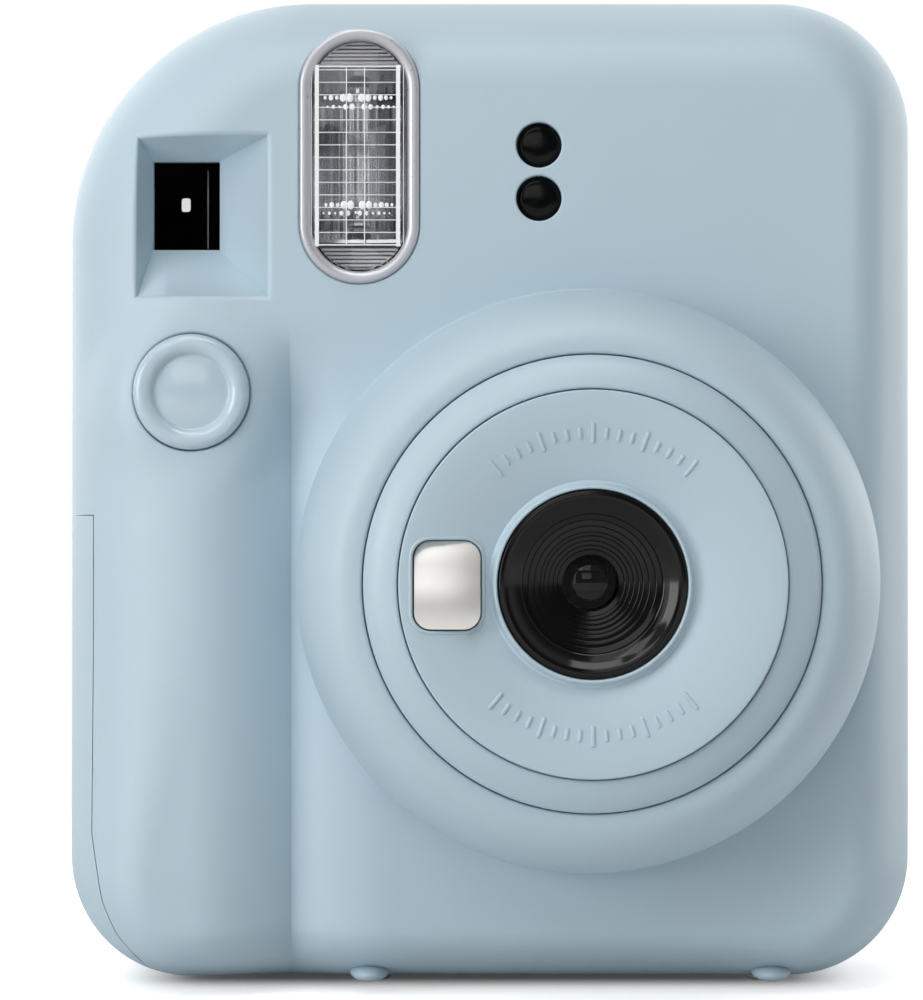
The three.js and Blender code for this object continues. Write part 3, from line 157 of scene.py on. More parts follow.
def spun(profile, centre, axis="y", sides=SIDES, closed=True):
    """A turned piece: its profile lists radius and place along the axis"""
    piece = Piece()
    rings = []
    for radius, along in profile:
        points = circle(radius, centre, sides, axis, along)
        rings.append(piece.ring(points[:1] if radius < 1e-6 else points))
    piece.bridges(rings)
    if closed:
        piece.bridge(rings[-1], rings[0])
    return piece


def turned(profile, centre, axis="y", sides=FEW_SIDES):
    """A turned piece whose profile starts and ends on the axis"""
    return spun(profile, centre, axis, sides, False)


def stacked(shape, levels, axis="y", hollow=False):
    """A piece through copies of one outline, each inset by an amount, at places along the axis. A hollow one
    is a band whose last outline meets the first again."""
    piece = Piece()
    rings = []
    for inset, along in levels:
        flat = np.asarray(shape(inset))
        level = np.full(len(flat), float(along))
        a, b = flat[:, 0], flat[:, 1]
        columns = {"y": (a, level, b), "x": (level, a, b), "z": (a, b, level)}[axis]
        rings.append(piece.ring(np.stack(columns, 1)))
    piece.bridges(rings)
    if hollow:
        piece.bridge(rings[-1], rings[0])
    else:
        piece.cap(rings[0])
        piece.cap(rings[-1])
    return piece


def bevelled(low, high, bevel, steps=3):
    """Levels of a slab whose two rims are rounded"""
    turn = np.linspace(0, math.pi / 2, steps + 1)
    start = [(bevel * (1 - math.sin(t)), low + bevel * (1 - math.cos(t))) for t in turn]
    end = [(bevel * (1 - math.cos(t)), high - bevel * (1 - math.sin(t))) for t in turn]
    return start + end


def rectangle(x, z, width, height, radius=0.0, steps=8):
    """An outline function: a rounded rectangle that shrinks by an inset"""

    def shape(inset=0.0):
        left, right = x - width / 2 + inset, x + width / 2 - inset
        low, high = z - height / 2 + inset, z + height / 2 - inset
        r = max(radius - inset, 1e-3)
        points = []
        for k, (cx, cz) in enumerate(
            [(right - r, low + r), (right - r, high - r), (left + r, high - r), (left + r, low + r)]
        ):
            for t in np.linspace(-math.pi / 2, 0, steps + 1) + k * math.pi / 2:
                points.append((cx + r * math.cos(t), cz + r * math.sin(t)))
        return np.array(points)

    return shape


def inside(points, polygon):
    """Which points lie inside a polygon"""
    x, z = points[:, 0:1], points[:, 1:2]
    a, b = polygon, np.roll(polygon, -1, axis=0)
    crosses = (a[:, 1] > z) != (b[:, 1] > z)
    rise = np.where(b[:, 1] == a[:, 1], 1e-12, b[:, 1] - a[:, 1])
    at = (b[:, 0] - a[:, 0]) * (z - a[:, 1]) / rise + a[:, 0]
    return (np.sum(crosses & (x < at), axis=1) % 2) == 1


def fill(piece, outer, holes, height, pitch, line=()):
    """A sheet of heights over a field, from an outer ring of the piece to rings round its holes"""
    rings = [outer, *holes]
    flat = [np.array([(piece.verts[i][0], piece.verts[i][2]) for i in ring]) for ring in rings]
    border = np.concatenate(flat)
    low, high = flat[0].min(0), flat[0].max(0)
    rows = np.arange(low[1], high[1], pitch * math.sqrt(3) / 2)
    grid = []
    for k, z in enumerate(rows):
        columns = np.arange(low[0] + (k % 2) * pitch / 2, high[0], pitch)
        grid.append(np.stack([columns, np.full(len(columns), z)], 1))
    grid = np.concatenate(grid)
    keep = inside(grid, flat[0])
    for hole in flat[1:]:
        keep &= ~inside(grid, hole)
    grid = grid[keep]
    dense = [np.array(line).reshape(-1, 2)]
    for loop in flat:
        for a, b in zip(loop, np.roll(loop, -1, axis=0)):
            count = 1 + int(np.hypot(*(b - a)) / (0.5 * pitch))
            dense.append(a + (b - a) * np.arange(count)[:, None] / count)
    fixed = np.concatenate(dense)
    near = np.full(len(grid), 1e9)
    for block in np.array_split(fixed, max(1, len(fixed) // 400)):
        gap = np.hypot(grid[:, None, 0] - block[None, :, 0], grid[:, None, 1] - block[None, :, 1])
        near = np.minimum(near, gap.min(1))
    grid = grid[near > 0.6 * pitch]
    edges = []
    start = 0
    for ring in rings:
        count = len(ring)
        edges += [(start + i, start + (i + 1) % count) for i in range(count)]
        start += count
    edges += [(start + i, start + i + 1) for i in range(len(line) - 1)]
    loose = np.concatenate([np.array(line).reshape(-1, 2), grid])
    every = np.concatenate([border, loose])
    out = delaunay_2d_cdt([Vector(p) for p in every], edges, [], 0, 1e-7)
    places, faces, origins = out[0], out[2], out[3]
    heights = height(loose[:, 0], loose[:, 1])
    known = [i for ring in rings for i in ring]
    known += piece.ring(np.stack([loose[:, 0], heights, loose[:, 1]], 1))
    corners = np.array([known[o[0]] for o in origins])
    faces = np.array([f for f in faces if len(f) == 3])
    centres = np.array([(p[0], p[1]) for p in places])[faces].mean(1)
    keep = inside(centres, flat[0])
    for hole in flat[1:]:
        keep &= ~inside(centres, hole)
    piece.faces.extend(tuple(f) for f in corners[faces[keep]].tolist())


def mesh_of(name, piece):
    mesh = bpy.data.meshes.new(name)
    mesh.from_pydata([tuple(c * MM for c in v) for v in piece.verts], [], piece.faces)
    work = bmesh.new()
    work.from_mesh(mesh)
    bmesh.ops.recalc_face_normals(work, faces=work.faces)
    work.to_mesh(mesh)
    work.free()
    obj = bpy.data.objects.new(name, mesh)
    bpy.context.scene.collection.objects.link(obj)
    return obj


def carve(obj, *cutters, operation="DIFFERENCE", solver="MANIFOLD"):
    """Cuts pieces out of an object, or joins or keeps what they share"""
    for k, cutter in enumerate(cutters):
        tool = mesh_of("cutter", cutter) if isinstance(cutter, Piece) else cutter
        change = obj.modifiers.new("cut", "BOOLEAN")
        change.operation, change.solver, change.object = operation, solver, tool
        depsgraph = bpy.context.evaluated_depsgraph_get()
        made = bpy.data.meshes.new_from_object(obj.evaluated_get(depsgraph))
        if len(made.vertices) == len(obj.data.vertices):
            raise RuntimeError(f"{obj.name}: cut {k} changed nothing")
        obj.modifiers.clear()
        obj.data = made
        bpy.data.objects.remove(tool)
    return obj


# A face lies on a curved surface where their normals agree at least this much
ALONG = 0.9


def values_of(items, key, width=1, kind=float):
    """A value, or a row of values, for each of a mesh's items"""
    found = np.zeros(len(items) * width, kind)
    items.foreach_get(key, found)
    return found.reshape(-1, width) if width > 1 else found


def follow(mesh, curved):
    """Gives the corners that lie on a curved surface its exact normals"""
    corners = values_of(mesh.corner_normals, "vector", 3, np.float32)
    places = values_of(mesh.vertices, "co", 3) / MM
    sizes = values_of(mesh.polygons, "loop_total", kind=np.int32)
    centres = np.repeat(values_of(mesh.polygons, "center", 3) / MM, sizes, axis=0)
    facing = np.repeat(values_of(mesh.polygons, "normal", 3), sizes, axis=0)
    which = values_of(mesh.loops, "vertex_index", kind=np.int32)
    on, normals = curved(places[which], centres, facing)
    corners[on] = normals[on]
    mesh.normals_split_custom_set(corners.tolist())


def dressed(obj, name, material, node=None, body="camera_body", sharp=35, curved=None):
    """Gives a piece its shading, its material and its place in the frame"""
    obj.name = name
    mesh = obj.data
    mesh.name = name
    mesh.materials.clear()
    mesh.materials.append(material)
    mesh.polygons.foreach_set("use_smooth", [True] * len(mesh.polygons))
    mesh.set_sharp_from_angle(angle=math.radians(sharp))
    if curved:
        follow(mesh, curved)
    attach(obj, body)
    if node:
        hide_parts(node)


def add(name, piece, material, node=None, body="camera_body", sharp=35):
    dressed(mesh_of(name, piece), name, material, node, body, sharp)


def gather(pieces):
    """One piece out of several"""
    whole = Piece()
    for piece in pieces:
        start = len(whole.verts)
        whole.verts += piece.verts
        whole.faces += [tuple(i + start for i in face) for face in piece.faces]
    return whole


# The shape of the shell
def smoothstep(x, low, high):
    t = np.clip((x - low) / (high - low), 0, 1)
    return t * t * (3 - 2 * t)


def edge_depth(x, z):
    """How deep a point lies inside the outline, and how wide the rounding is there"""
    radius = np.where(
        z > MID,
        np.where(x < 0, RADIUS.top_left, RADIUS.top_right),
        np.where(x < 0, RADIUS.bottom_left, RADIUS.bottom_right),
    )
    past_x = np.abs(x) - HALF_WIDTH + radius
    past_z = np.abs(z - MID) - HALF_HEIGHT + radius
    reach = np.hypot(np.maximum(past_x, 0), np.maximum(past_z, 0))
    depth = radius - reach - np.minimum(np.maximum(past_x, past_z), 0)
    both = (past_x > 0) & (past_z > 0)
    across = np.where(past_x > past_z, 1.0, 0.0)
    across = np.where(both, (past_x / np.maximum(reach, 1e-6)) ** 2, across)
    grown = smoothstep(z, EDGE.left_from, EDGE.left_to)
    left = EDGE.left_low + (EDGE.left - EDGE.left_low) * grown
    side = np.where(x < 0, left, EDGE.right)
    end = np.where(z < MID, EDGE.bottom, EDGE.top)
    return depth, across * side + (1 - across) * end


def rounding(depth, width):
    share = np.clip(depth / width, 0, 1)
    return 1 - np.sqrt(1 - (1 - share) ** 2)


def plain_height(x, z):
    """The face with its grip and rounded edges"""
    full = 1 - smoothstep(z, GRIP.full, GRIP.gone)
    share = np.clip((x - GRIP.crest) / (GRIP.crease - GRIP.crest), 0, 1)
    grip = GRIP.rise - (GRIP.rise + GRIP.valley) * share**2
    share = np.clip((x - GRIP.crease) / GRIP.valley_width, 0, 1)
    valley = -GRIP.valley * (1 - share) ** 2
    height = FACE + full * np.where(x < GRIP.crease, grip, valley)
    depth, width = edge_depth(x, z)
    return height - (height + ROUNDING_START) * rounding(depth, width)


PAD_HEIGHT = float(plain_height(np.array([BUTTON.x]), np.array([BUTTON.z]))[0])


def front_height(x, z):
    away = np.hypot(x - BUTTON.x, z - BUTTON.z) - BUTTON.hole - BUTTON.margin
    plain = plain_height(x, z)
    return plain + (PAD_HEIGHT - plain) * (1 - smoothstep(away, 0, BUTTON.blend)) * BUTTON.flat_share


def front_y(x, z):
    return -front_height(x, z)


def unit_rows(rows):
    return rows / np.linalg.norm(rows, axis=1, keepdims=True)


def front_curved(places, centres, facing):
    """Exact normals where a corner lies on the front surface"""
    nudge = 0.03
    step = 0.01
    rim = 0.25
    arm = centres - places
    arm /= np.maximum(np.linalg.norm(arm, axis=1, keepdims=True), 1e-9)
    x, z = (places + arm * nudge)[:, 0], (places + arm * nudge)[:, 2]
    slope_x = (front_height(x + step, z) - front_height(x - step, z)) / (2 * step)
    slope_z = (front_height(x, z + step) - front_height(x, z - step)) / (2 * step)
    normals = unit_rows(np.stack([-slope_x, -np.ones(len(x)), -slope_z], 1))
    depth, _ = edge_depth(x, z)
    gap = np.abs(places[:, 1] + front_height(places[:, 0], places[:, 2]))
    on = (gap < step) & (depth > rim) & (np.sum(normals * facing, axis=1) > ALONG)
    return on, normals


CORNERS = [
    (1, -1, RADIUS.bottom_right),
    (1, 1, RADIUS.top_right),
    (-1, 1, RADIUS.top_left),
    (-1, -1, RADIUS.bottom_left),
]
ARC_STEPS = 28 // COARSE
SIDE_STEPS = 26 // COARSE


def outline(inset=0.0):
    """The shell's outline as a loop of points in X and Z"""
    arcs = []
    for k, (side_x, side_z, radius) in enumerate(CORNERS):
        turn = np.linspace(0, math.pi / 2, ARC_STEPS + 1) + (k - 1) * math.pi / 2
        x = side_x * (HALF_WIDTH - radius) + (radius - inset) * np.cos(turn)
        z = MID + side_z * (HALF_HEIGHT - radius) + (radius - inset) * np.sin(turn)
        arcs.append(np.stack([x, z], 1))
    points = []
    for k, arc in enumerate(arcs):
        points.append(arc)
        start, end = arc[-1], arcs[(k + 1) % 4][0]
        shares = np.linspace(0, 1, SIDE_STEPS)[1:-1]
        if k == 3:
            crease = (GRIP.crease - start[0]) / (end[0] - start[0])
            shares[np.argmin(np.abs(shares - crease))] = crease
        points.append(start + (end - start) * shares[:, None])
    return np.concatenate(points)


# Materials
def fill_in(tree, node, values):
    """Sets a shader node's inputs to values, or links them to sockets"""
    for key, value in values.items():
        if isinstance(value, bpy.types.NodeSocket):
            tree.links.new(value, node.inputs[key])
        else:
            node.inputs[key].default_value = value


def wire(tree, kind, values=None, **settings):
    """The outputs of a new shader node that has these inputs and settings"""
    node = tree.nodes.new("ShaderNode" + kind)
    for key, value in settings.items():
        setattr(node, key, value)
    fill_in(tree, node, values or {})
    return node.outputs


def linear(color):
    """A colour of 0 to 255 as linear light"""
    shares = [v / 255 for v in color]
    return [c / 12.92 if c <= 0.04045 else ((c + 0.055) / 1.055) ** 2.4 for c in shares]


def noise(tree, scale, detail, rough):
    """Noise in the object's own space, with a scale in cycles per metre"""
    place = wire(tree, "TexCoord")["Object"]
    values = {"Vector": place, "Scale": scale, "Detail": detail, "Roughness": rough}
    return wire(tree, "TexNoise", values)["Fac"]


GRAIN = {"detail": 3, "rough": 0.6}
DRIFT = {"scale": 45, "detail": 2, "rough": 0.5}
GRAIN_DEPTH = 0.02 * MM


def textured(name, base, rough, metal=0.0, grain=2500, bump=0.08, tone=0.03, wear=0.05, **settings):
    """A moulded surface: fine grain in its bump and roughness, and a slight drift of its tone"""
    material = bpy.data.materials.new(name)
    material.use_nodes = True
    tree = material.node_tree
    shader = tree.nodes["Principled BSDF"]
    color = linear(base)
    fill_in(tree, shader, {"Base Color": (*color, 1), "Roughness": rough, "Metallic": metal})
    fill_in(tree, shader, {key.replace("_", " "): value for key, value in settings.items()})
    fine = noise(tree, grain, **GRAIN)
    mix = wire(tree, "Mix", {
        "Factor": noise(tree, **DRIFT),
        "A": (*(c * (1 - tone) for c in color), 1),
        "B": (*(min(c * (1 + tone), 1) for c in color), 1),
    }, data_type="RGBA")
    spread = {"From Min": 0.3, "From Max": 0.7, "To Min": rough - wear, "To Max": rough + wear}
    relief = {"Strength": bump, "Distance": GRAIN_DEPTH, "Height": fine}
    fill_in(tree, shader, {
        "Roughness": wire(tree, "MapRange", {"Value": fine, **spread})["Result"],
        "Base Color": mix["Result"],
        "Normal": wire(tree, "Bump", relief)["Normal"],
    })
    return material


BLUE = textured("shell_blue", (183, 203, 214), 0.48, bump=0.25, grain=3500)
BLUE_SMOOTH = textured("shell_blue_smooth", (183, 203, 214), 0.4, bump=0.08, grain=3500)
BLUE_GLOSSY = textured("button_blue", (185, 204, 215), 0.13, bump=0, wear=0, Specular_IOR_Level=0.7)
BLACK = textured("black_plastic", (17, 18, 20), 0.42, bump=0.2, Specular_IOR_Level=0.25)
FLAT_BLACK = textured("flat_black", (7, 7, 8), 0.8, bump=0.3, Specular_IOR_Level=0.01)
LENS_BLACK = textured("lens_black", (6, 6, 7), 0.12, bump=0.005, wear=0.01, Specular_IOR_Level=0.3)
GLOSS = textured("glossy_black", (4, 5, 6), 0.12, bump=0.02, Specular_IOR_Level=0.15)
MIRROR = textured("mirror_metal", (236, 234, 230), 0.3, 1.0, bump=0.02, grain=900, wear=0.02)
STEEL = textured("steel", (155, 157, 160), 0.33, 1.0, bump=0.06, grain=900)
WHITE = textured("white_plastic", (216, 217, 218), 0.5, bump=0.1)
# Near-white plastic for painted highlights and painted reflections in the flash's clear front
PAINTED_GLINT = textured("painted_glint_white", (246, 247, 248), 0.25, bump=0.02, grain=1500)
PEWTER = textured("pewter", (193, 193, 200), 0.32, 0.4, bump=0.05, grain=900)
CHROME = textured("reflector_metal", (196, 198, 202), 0.12, 1.0, bump=0.04, grain=300, wear=0.02)
BOARD = textured("board_lacquer", (31, 74, 53), 0.35, bump=0.15)
WRAP = textured("cell_sleeve", (44, 61, 85), 0.35, 0.5, bump=0.04)
CLEAR = textured(
    "clear_plastic", (252, 253, 253), 0.03, bump=0.01, wear=0.01,
    Transmission_Weight=1.0, IOR=1.49, Specular_IOR_Level=0.1,
)
GLASS = textured("lens_glass", (7, 8, 10), 0.04, bump=0, wear=0, Alpha=0.45, Specular_IOR_Level=0.5)
PANE = textured("finder_glass", (4, 4, 5), 0.06, bump=0, wear=0, Alpha=0.12, Specular_IOR_Level=0.03)
INK = textured("dial_ink", (52, 60, 68), 0.5, bump=0.05)


# The front cover
HOUSING = Sizes(
    radius=34.9, rim_radius=27.6, bore=26.62, rim=30, rim_edge=0.4, skirt=14,
    lip=22.6, floor=1.5, tube=1.3, tube_end=25, fillet=0.2, least_rise=0.05,
    inner_from=70,
)
FUNNEL = Sizes(
    inner=(-41.2, -32.9, 90.3, 101.3), outer=(-42.6, -26.9, 84.5, 103.6), window=6.3,
    edge=0.8, window_edge=0.1,
)
FLASH = Sizes(x=-15.75, z=101.15, width=14.5, height=30.7, edge=0.3)
SENSOR = Sizes(x=5.8, z=(102.5, 96.1), hole=2.73, edge=0.25)
SEAM_EDGE = 0.35
SEAM_EDGE_MIDDLE = SEAM_EDGE * 0.3
PITCH = Sizes(
    front=1.1 * COARSE, inner=4.5, door=2.2 * COARSE, door_rim=2 * COARSE, crease=1,
    crease_start=0.8,
)


def lip(piece, loop, outward, radius, height, steps=4, way=1):
    """Rings from the surface round a rounded edge into a hole. The first ring borders the sheet."""
    rings = []
    for t in np.linspace(0, math.pi / 2, steps + 1):
        flat = loop + outward * radius * (1 - math.sin(t))
        level = height(flat[:, 0], flat[:, 1]) + way * radius * (1 - math.cos(t))
        rings.append(piece.loop(flat, level))
    return rings


def loop_normals(loop):
    """The outward directions along a loop in X and Z"""
    run = unit_rows(np.roll(loop, -1, axis=0) - np.roll(loop, 1, axis=0))
    return np.stack([run[:, 1], -run[:, 0]], 1)


def round_loop(x, z, radius, sides=FEW_SIDES):
    """A circle in X and Z"""
    return circle(radius, (x, 0, z), sides)[:, [0, 2]]


def behind(x, z):
    """The inner side of the front wall"""
    return WALL - front_height(x, z)


def flash_loop():
    """The pill-shaped hole of the flash, with points along its straight sides too"""
    arc = 24 // COARSE
    quarter = arc + 1
    points = rectangle(FLASH.x, FLASH.z, FLASH.width, FLASH.height, FLASH.width / 2, arc)(0)
    run = np.linspace(0, 1, 10)[1:-1, None]
    right = points[quarter - 1] + (points[quarter] - points[quarter - 1]) * run
    left = points[3 * quarter - 1] + (points[3 * quarter] - points[3 * quarter - 1]) * run
    return np.concatenate([
        points[:quarter], right, points[quarter:2 * quarter],
        points[2 * quarter + 1:3 * quarter], left, points[3 * quarter:-1],
    ])


def funnel_loops():
    """The mouth and the window of the finder funnel, and the outward directions round them"""
    steps = 16
    t = np.linspace(0, 1, steps, endpoint=False)
    zero, one = np.zeros(steps), np.ones(steps)
    pairs = [(t, zero), (one, t), (1 - t, one), (zero, 1 - t)]
    shares = np.concatenate([np.stack(pair, 1) for pair in pairs])
    ways = np.array([(0, -1), (1, 0), (0, 1), (-1, 0)], float)
    sides = np.repeat(ways, steps, axis=0)
    for k, n in enumerate([(-1, -1), (1, -1), (1, 1), (-1, 1)]):
        sides[k * steps] = n

    def place(box):
        x = box[0] + (box[1] - box[0]) * shares[:, 0]
        z = box[2] + (box[3] - box[2]) * shares[:, 1]
        return np.stack([x, z], 1)

    return place(FUNNEL.outer), place(FUNNEL.inner), sides


def funnel_rings(piece):
    """Rings from the front down the finder's funnel, through its window and back up behind it"""
    mouth, window, sides = funnel_loops()
    depth, edge = FUNNEL.window, FUNNEL.window_edge
    rings = lip(piece, mouth, sides, FUNNEL.edge, front_y, 6)
    rings.append(piece.loop(window, -depth - edge))
    rings.append(piece.loop(window - sides * edge, -depth))
    rings.append(piece.loop(window - sides * edge, WALL - depth))
    box = mouth + sides * WALL
    rings.append(piece.loop(box, WALL - depth))
    rings.append(piece.loop(box, behind))
    return rings


def housing_rings(piece):
    """Rings up the housing round the lens, over its rim, down its bore and back behind the wall"""
    h = HOUSING
    around = round_loop(0, 0, 1, SIDES)

    def level_ring(radius, y):
        return piece.loop(spread(radius), y)

    def spread(radius):
        return np.array([LENS[0], LENS[2]]) + around * np.asarray(radius).reshape(-1, 1)

    start = spread(h.radius + h.fillet)
    base = front_height(start[:, 0], start[:, 1])
    rings = []
    for t in np.linspace(0, math.pi / 2, 5):
        radius = h.radius + h.fillet * (1 - math.sin(t))
        rings.append(level_ring(radius, -base - h.fillet * (1 - math.cos(t))))
    top = np.maximum(base + h.fillet + h.least_rise, h.skirt)
    rise, width = h.rim - h.skirt, h.radius - h.rim_radius
    low = np.arcsin((top - h.skirt) / rise)
    steps = 28 // COARSE
    for k in range(steps + 1):
        angle = low + (math.pi / 2 - low) * k / steps
        radius = h.rim_radius + width * np.cos(angle)
        rings.append(level_ring(radius, -h.skirt - rise * np.sin(angle)))
    tube = h.bore + h.tube
    floor = h.floor - h.skirt
    bore = [(h.rim_radius, -h.rim), (h.bore, -h.rim), (h.bore, -h.skirt)]
    profile = rounded(bore, h.rim_edge, 4, False)[1:]
    profile += [(h.lip, -h.skirt), (h.lip, floor), (tube, floor), (tube, -h.tube_end)]
    for turn in np.radians(np.linspace(h.inner_from, 0, 6)):
        radius = h.rim_radius + (width - WALL) * math.cos(turn)
        profile.append((radius, -h.skirt - (rise - WALL) * math.sin(turn)))
    rings += [level_ring(radius, level) for radius, level in profile]
    rings.append(level_ring(h.radius - WALL, behind))
    return rings


def make_front_cover():
    piece = Piece()
    edge = [piece.loop(outline(depth), front_y) for depth in EDGE_DEPTHS]
    side = [piece.loop(outline(0), SEAM - SEAM_EDGE)]
    side.append(piece.loop(outline(SEAM_EDGE_MIDDLE), SEAM - SEAM_EDGE_MIDDLE))
    side.append(piece.loop(outline(SEAM_EDGE), SEAM))
    side.append(piece.loop(outline(WALL), SEAM))
    inner = piece.loop(outline(WALL), behind)
    piece.bridges(edge[::-1] + side + [inner])
    outer_holes, inner_holes = [], []

    # Round holes for the button and the two sensors, and the pill for the flash
    loops = [(round_loop(BUTTON.x, BUTTON.z, BUTTON.hole, SIDES // 2), BUTTON.edge)]
    loops += [(round_loop(SENSOR.x, z, SENSOR.hole), SENSOR.edge) for z in SENSOR.z]
    loops.append((flash_loop(), FLASH.edge))
    for loop, radius in loops:
        chain = lip(piece, loop, loop_normals(loop), radius, front_y)
        back = piece.loop(loop, behind)
        piece.bridges(chain + [back])
        outer_holes.append(chain[0])
        inner_holes.append(back)
    for make_rings in (funnel_rings, housing_rings):
        chain = make_rings(piece)
        piece.bridges(chain)
        outer_holes.append(chain[0])
        inner_holes.append(chain[-1])

    # The sheets between the holes, with the crease as a sharp line in both
    foot = EDGE_DEPTHS[-1] + BOTTOM + PITCH.crease_start
    line = [(GRIP.crease, level) for level in np.arange(foot, GRIP.gone, PITCH.crease)]
    fill(piece, edge[-1], outer_holes, front_y, PITCH.front, line)
    fill(piece, inner, inner_holes, behind, PITCH.inner, line[::4])
    return piece


# Cutters and blocks
def opened(low, face, high, edge, grown=0.0):
    """Levels of a cutter through a wall that also breaks the edge of the hole in the wall's face"""
    return [(-grown, low), (-grown, face - edge), (-grown - edge, face), (-grown - edge, high)]


def rod(radius, low, high, centre, axis="y"):
    return turned([(0, low), (radius, low), (radius, high), (0, high)], centre, axis)


def block(shape, low, high):
    """A block of one outline between two places along Y"""
    return stacked(shape, [(0, low), (0, high)])


def box(x, y, z):
    """A block from its spans along the three axes"""
    return block(rectangle(sum(x) / 2, sum(z) / 2, x[1] - x[0], z[1] - z[0], SMALL, 1), *y)


# The battery door is cut out of the shell along this outline
DOOR = Sizes(
    top=58, seam_x=-48.2, front=-20, back=22, corner=4,
    foot_shares=[(1, 0.34), (0.97, 0.2), (0.935, 0.13), (0.86, 0.045)],
)
GROOVES = Sizes(x=(-53, -51.65), y=(2, 17), z=(51.4, 52.8, 54.2, 55.6), half=0.3)


def door_prism(grown):
    """A block in Y that holds the battery door, with its seam moved outward"""
    side = HALF_WIDTH + PAST
    points = [(-side, DOOR.top + grown), (DOOR.seam_x + grown, DOOR.top + grown)]
    points += [(DOOR.seam_x * a + grown, DOOR.top * b) for a, b in DOOR.foot_shares]
    points += [(points[-1][0], -PAST), (-side, -PAST)]
    flat = np.array(rounded(points, DOOR.corner, 5, only=range(2, 6)))
    return block(lambda _: flat, DOOR.front, DOOR.back + grown)


def whole_shell(inset, sunk):
    """The front's edge and the side as one closed solid, for the battery door"""
    piece = Piece()
    rings = []
    for depth in reversed(EDGE_DEPTHS + FACE_DEPTHS):
        rings.append(piece.loop(outline(max(depth, inset)), lambda x, z: sunk - front_height(x, z)))
    rings.append(piece.loop(outline(inset), DOOR.back + 2 * PAST))
    piece.bridges(rings)
    piece.cap(rings[0])
    piece.cap(rings[-1])
    return piece


FEET = Sizes(x=(-14.7, 34.2), y={"front": 5, "back": 21.6}, radius=2.4, stem=1.2, top=2.8, hole_top=4)


def foot_holes(end):
    radius = FEET.stem + CLEARANCE
    return [rod(radius, -PAST, FEET.hole_top, (x, FEET.y[end], 0), "z") for x in FEET.x]


front = mesh_of("front_cover", make_front_cover())
carve(front, door_prism(SEAM_GAP), *foot_holes("front"))
dressed(front, "front_cover_shell", BLUE, "front_cover", curved=front_curved)

battery = mesh_of("battery_door", whole_shell(0, 0))
carve(battery, whole_shell(WALL, WALL))
carve(battery, door_prism(0), operation="INTERSECT")
half = GROOVES.half
carve(battery, *(box(GROOVES.x, GROOVES.y, (z - half, z + half)) for z in GROOVES.z))
dressed(
    battery, "battery_door_cover", BLUE, "battery_door", "battery_door",
    curved=front_curved,
)


# The rear cover
STRAP = Sizes(y=15.4, z=81)
STRAP_HOLE = Sizes(width=13.6, height=14.6, corner=2.5, edge=0.4, depth=4)
SLOT = Sizes(
    x=11.6, width=54.6, y=12.8, depth=3, start=106, edge=0.35,
    hood=2.4, hood_depth=5.6, hood_edge=0.4, hood_foot=WALL * 0.8, rise=0.4, ramp=4,
)
FILM_DOOR = Sizes(
    left=-24, right=43.2, bottom=10.4, top=106.5, inner=28, crown=2.9, corner=3,
    edge=0.6, ledge=1.3, gap_edge=0.35,
)
HINGE = Sizes(
    x=45.6, y=29.2, knuckle=2, pin=0.9, play=0.1, edge=0.3, length=39, lug=7.8,
    inset=0.6, room=0.6, web=1.4, web_y=(27.2, 28.6), slit=4,
    arm=1, overlap=0.05,
)
EYEPIECE = Sizes(x=-38, z=97)
# Each outline of the eyepiece lists its width, its height, its corner and, in one, the steps of its corner
EYE_SIZES = {
    "neck": (13, 11.6, 1), "rim": (17, 14.5, 3, 10), "plug": (12.4, 11, 0.9), "funnel": (8.4, 7.4, 1.6),
}
EYE_PLUG = (26.8, 31)
COUNTER = Sizes(x=-38, z=40, window_z=44.4, window=2.9, edge_radius=3.5, edge=0.5)
# Each screw's place in X and Z, and how far its cross is turned, in degrees
SCREWS = {(-27.7, 16): 25, (-27.7, 84): 70, (-17, 109.4): 10, (40.2, 109.4): 50}
SCREW = Sizes(hole=1.2, seat=2.15, seat_edge=2.45, seat_depth=1.2, edge=0.3)
# Where the cutters through the back wall start
WELL = 25


def eye_shape(part):
    return rectangle(EYEPIECE.x, EYEPIECE.z, *EYE_SIZES[part])


def outline_top(x):
    """The height of the outline's upper edge at a place along X"""
    radius = np.where(x < 0, RADIUS.top_left, RADIUS.top_right)
    past = np.maximum(np.abs(x) - HALF_WIDTH + radius, 0)
    return TOP - radius + np.sqrt(radius**2 - past**2)


def hood_shape(inset):
    """The hood over the film slot, along the shell's upper edge"""
    half = SLOT.width / 2 + SLOT.hood - inset
    x = np.linspace(SLOT.x - half, SLOT.x + half, 90)
    near = half - np.abs(x - SLOT.x)
    rise = SLOT.rise * smoothstep(near, 0, SLOT.ramp) - inset
    upper = np.stack([x, outline_top(x) + rise], 1)
    lower = np.stack([x, outline_top(x) - SLOT.hood_foot], 1)
    return np.concatenate([upper, lower[::-1]])


def back_rings(piece, steps, inset, back):
    """Rings round the rounded edge of the back, for a surface at an inset"""
    rings = []
    for k in range(steps + 1):
        turn = math.pi / 2 * k / steps
        level = back - BACK_ROUNDING * (1 - math.sin(turn))
        rings.append(piece.loop(outline(inset + BACK_ROUNDING * (1 - math.cos(turn))), level))
    return rings


def make_rear_cover():
    piece = Piece()
    start = SEAM + CLEARANCE
    rings = [piece.loop(outline(WALL), start), piece.loop(outline(SEAM_EDGE), start)]
    rings.append(piece.loop(outline(SEAM_EDGE_MIDDLE), start + SEAM_EDGE_MIDDLE))
    rings.append(piece.loop(outline(0), start + SEAM_EDGE))
    rings += back_rings(piece, 12, 0, BACK)
    piece.bridges(rings)
    piece.cap(rings[-1])
    within = [rings[0], *back_rings(piece, 6, WALL, BACK - BACK_WALL)]
    piece.bridges(within)
    piece.cap(within[-1])
    return piece


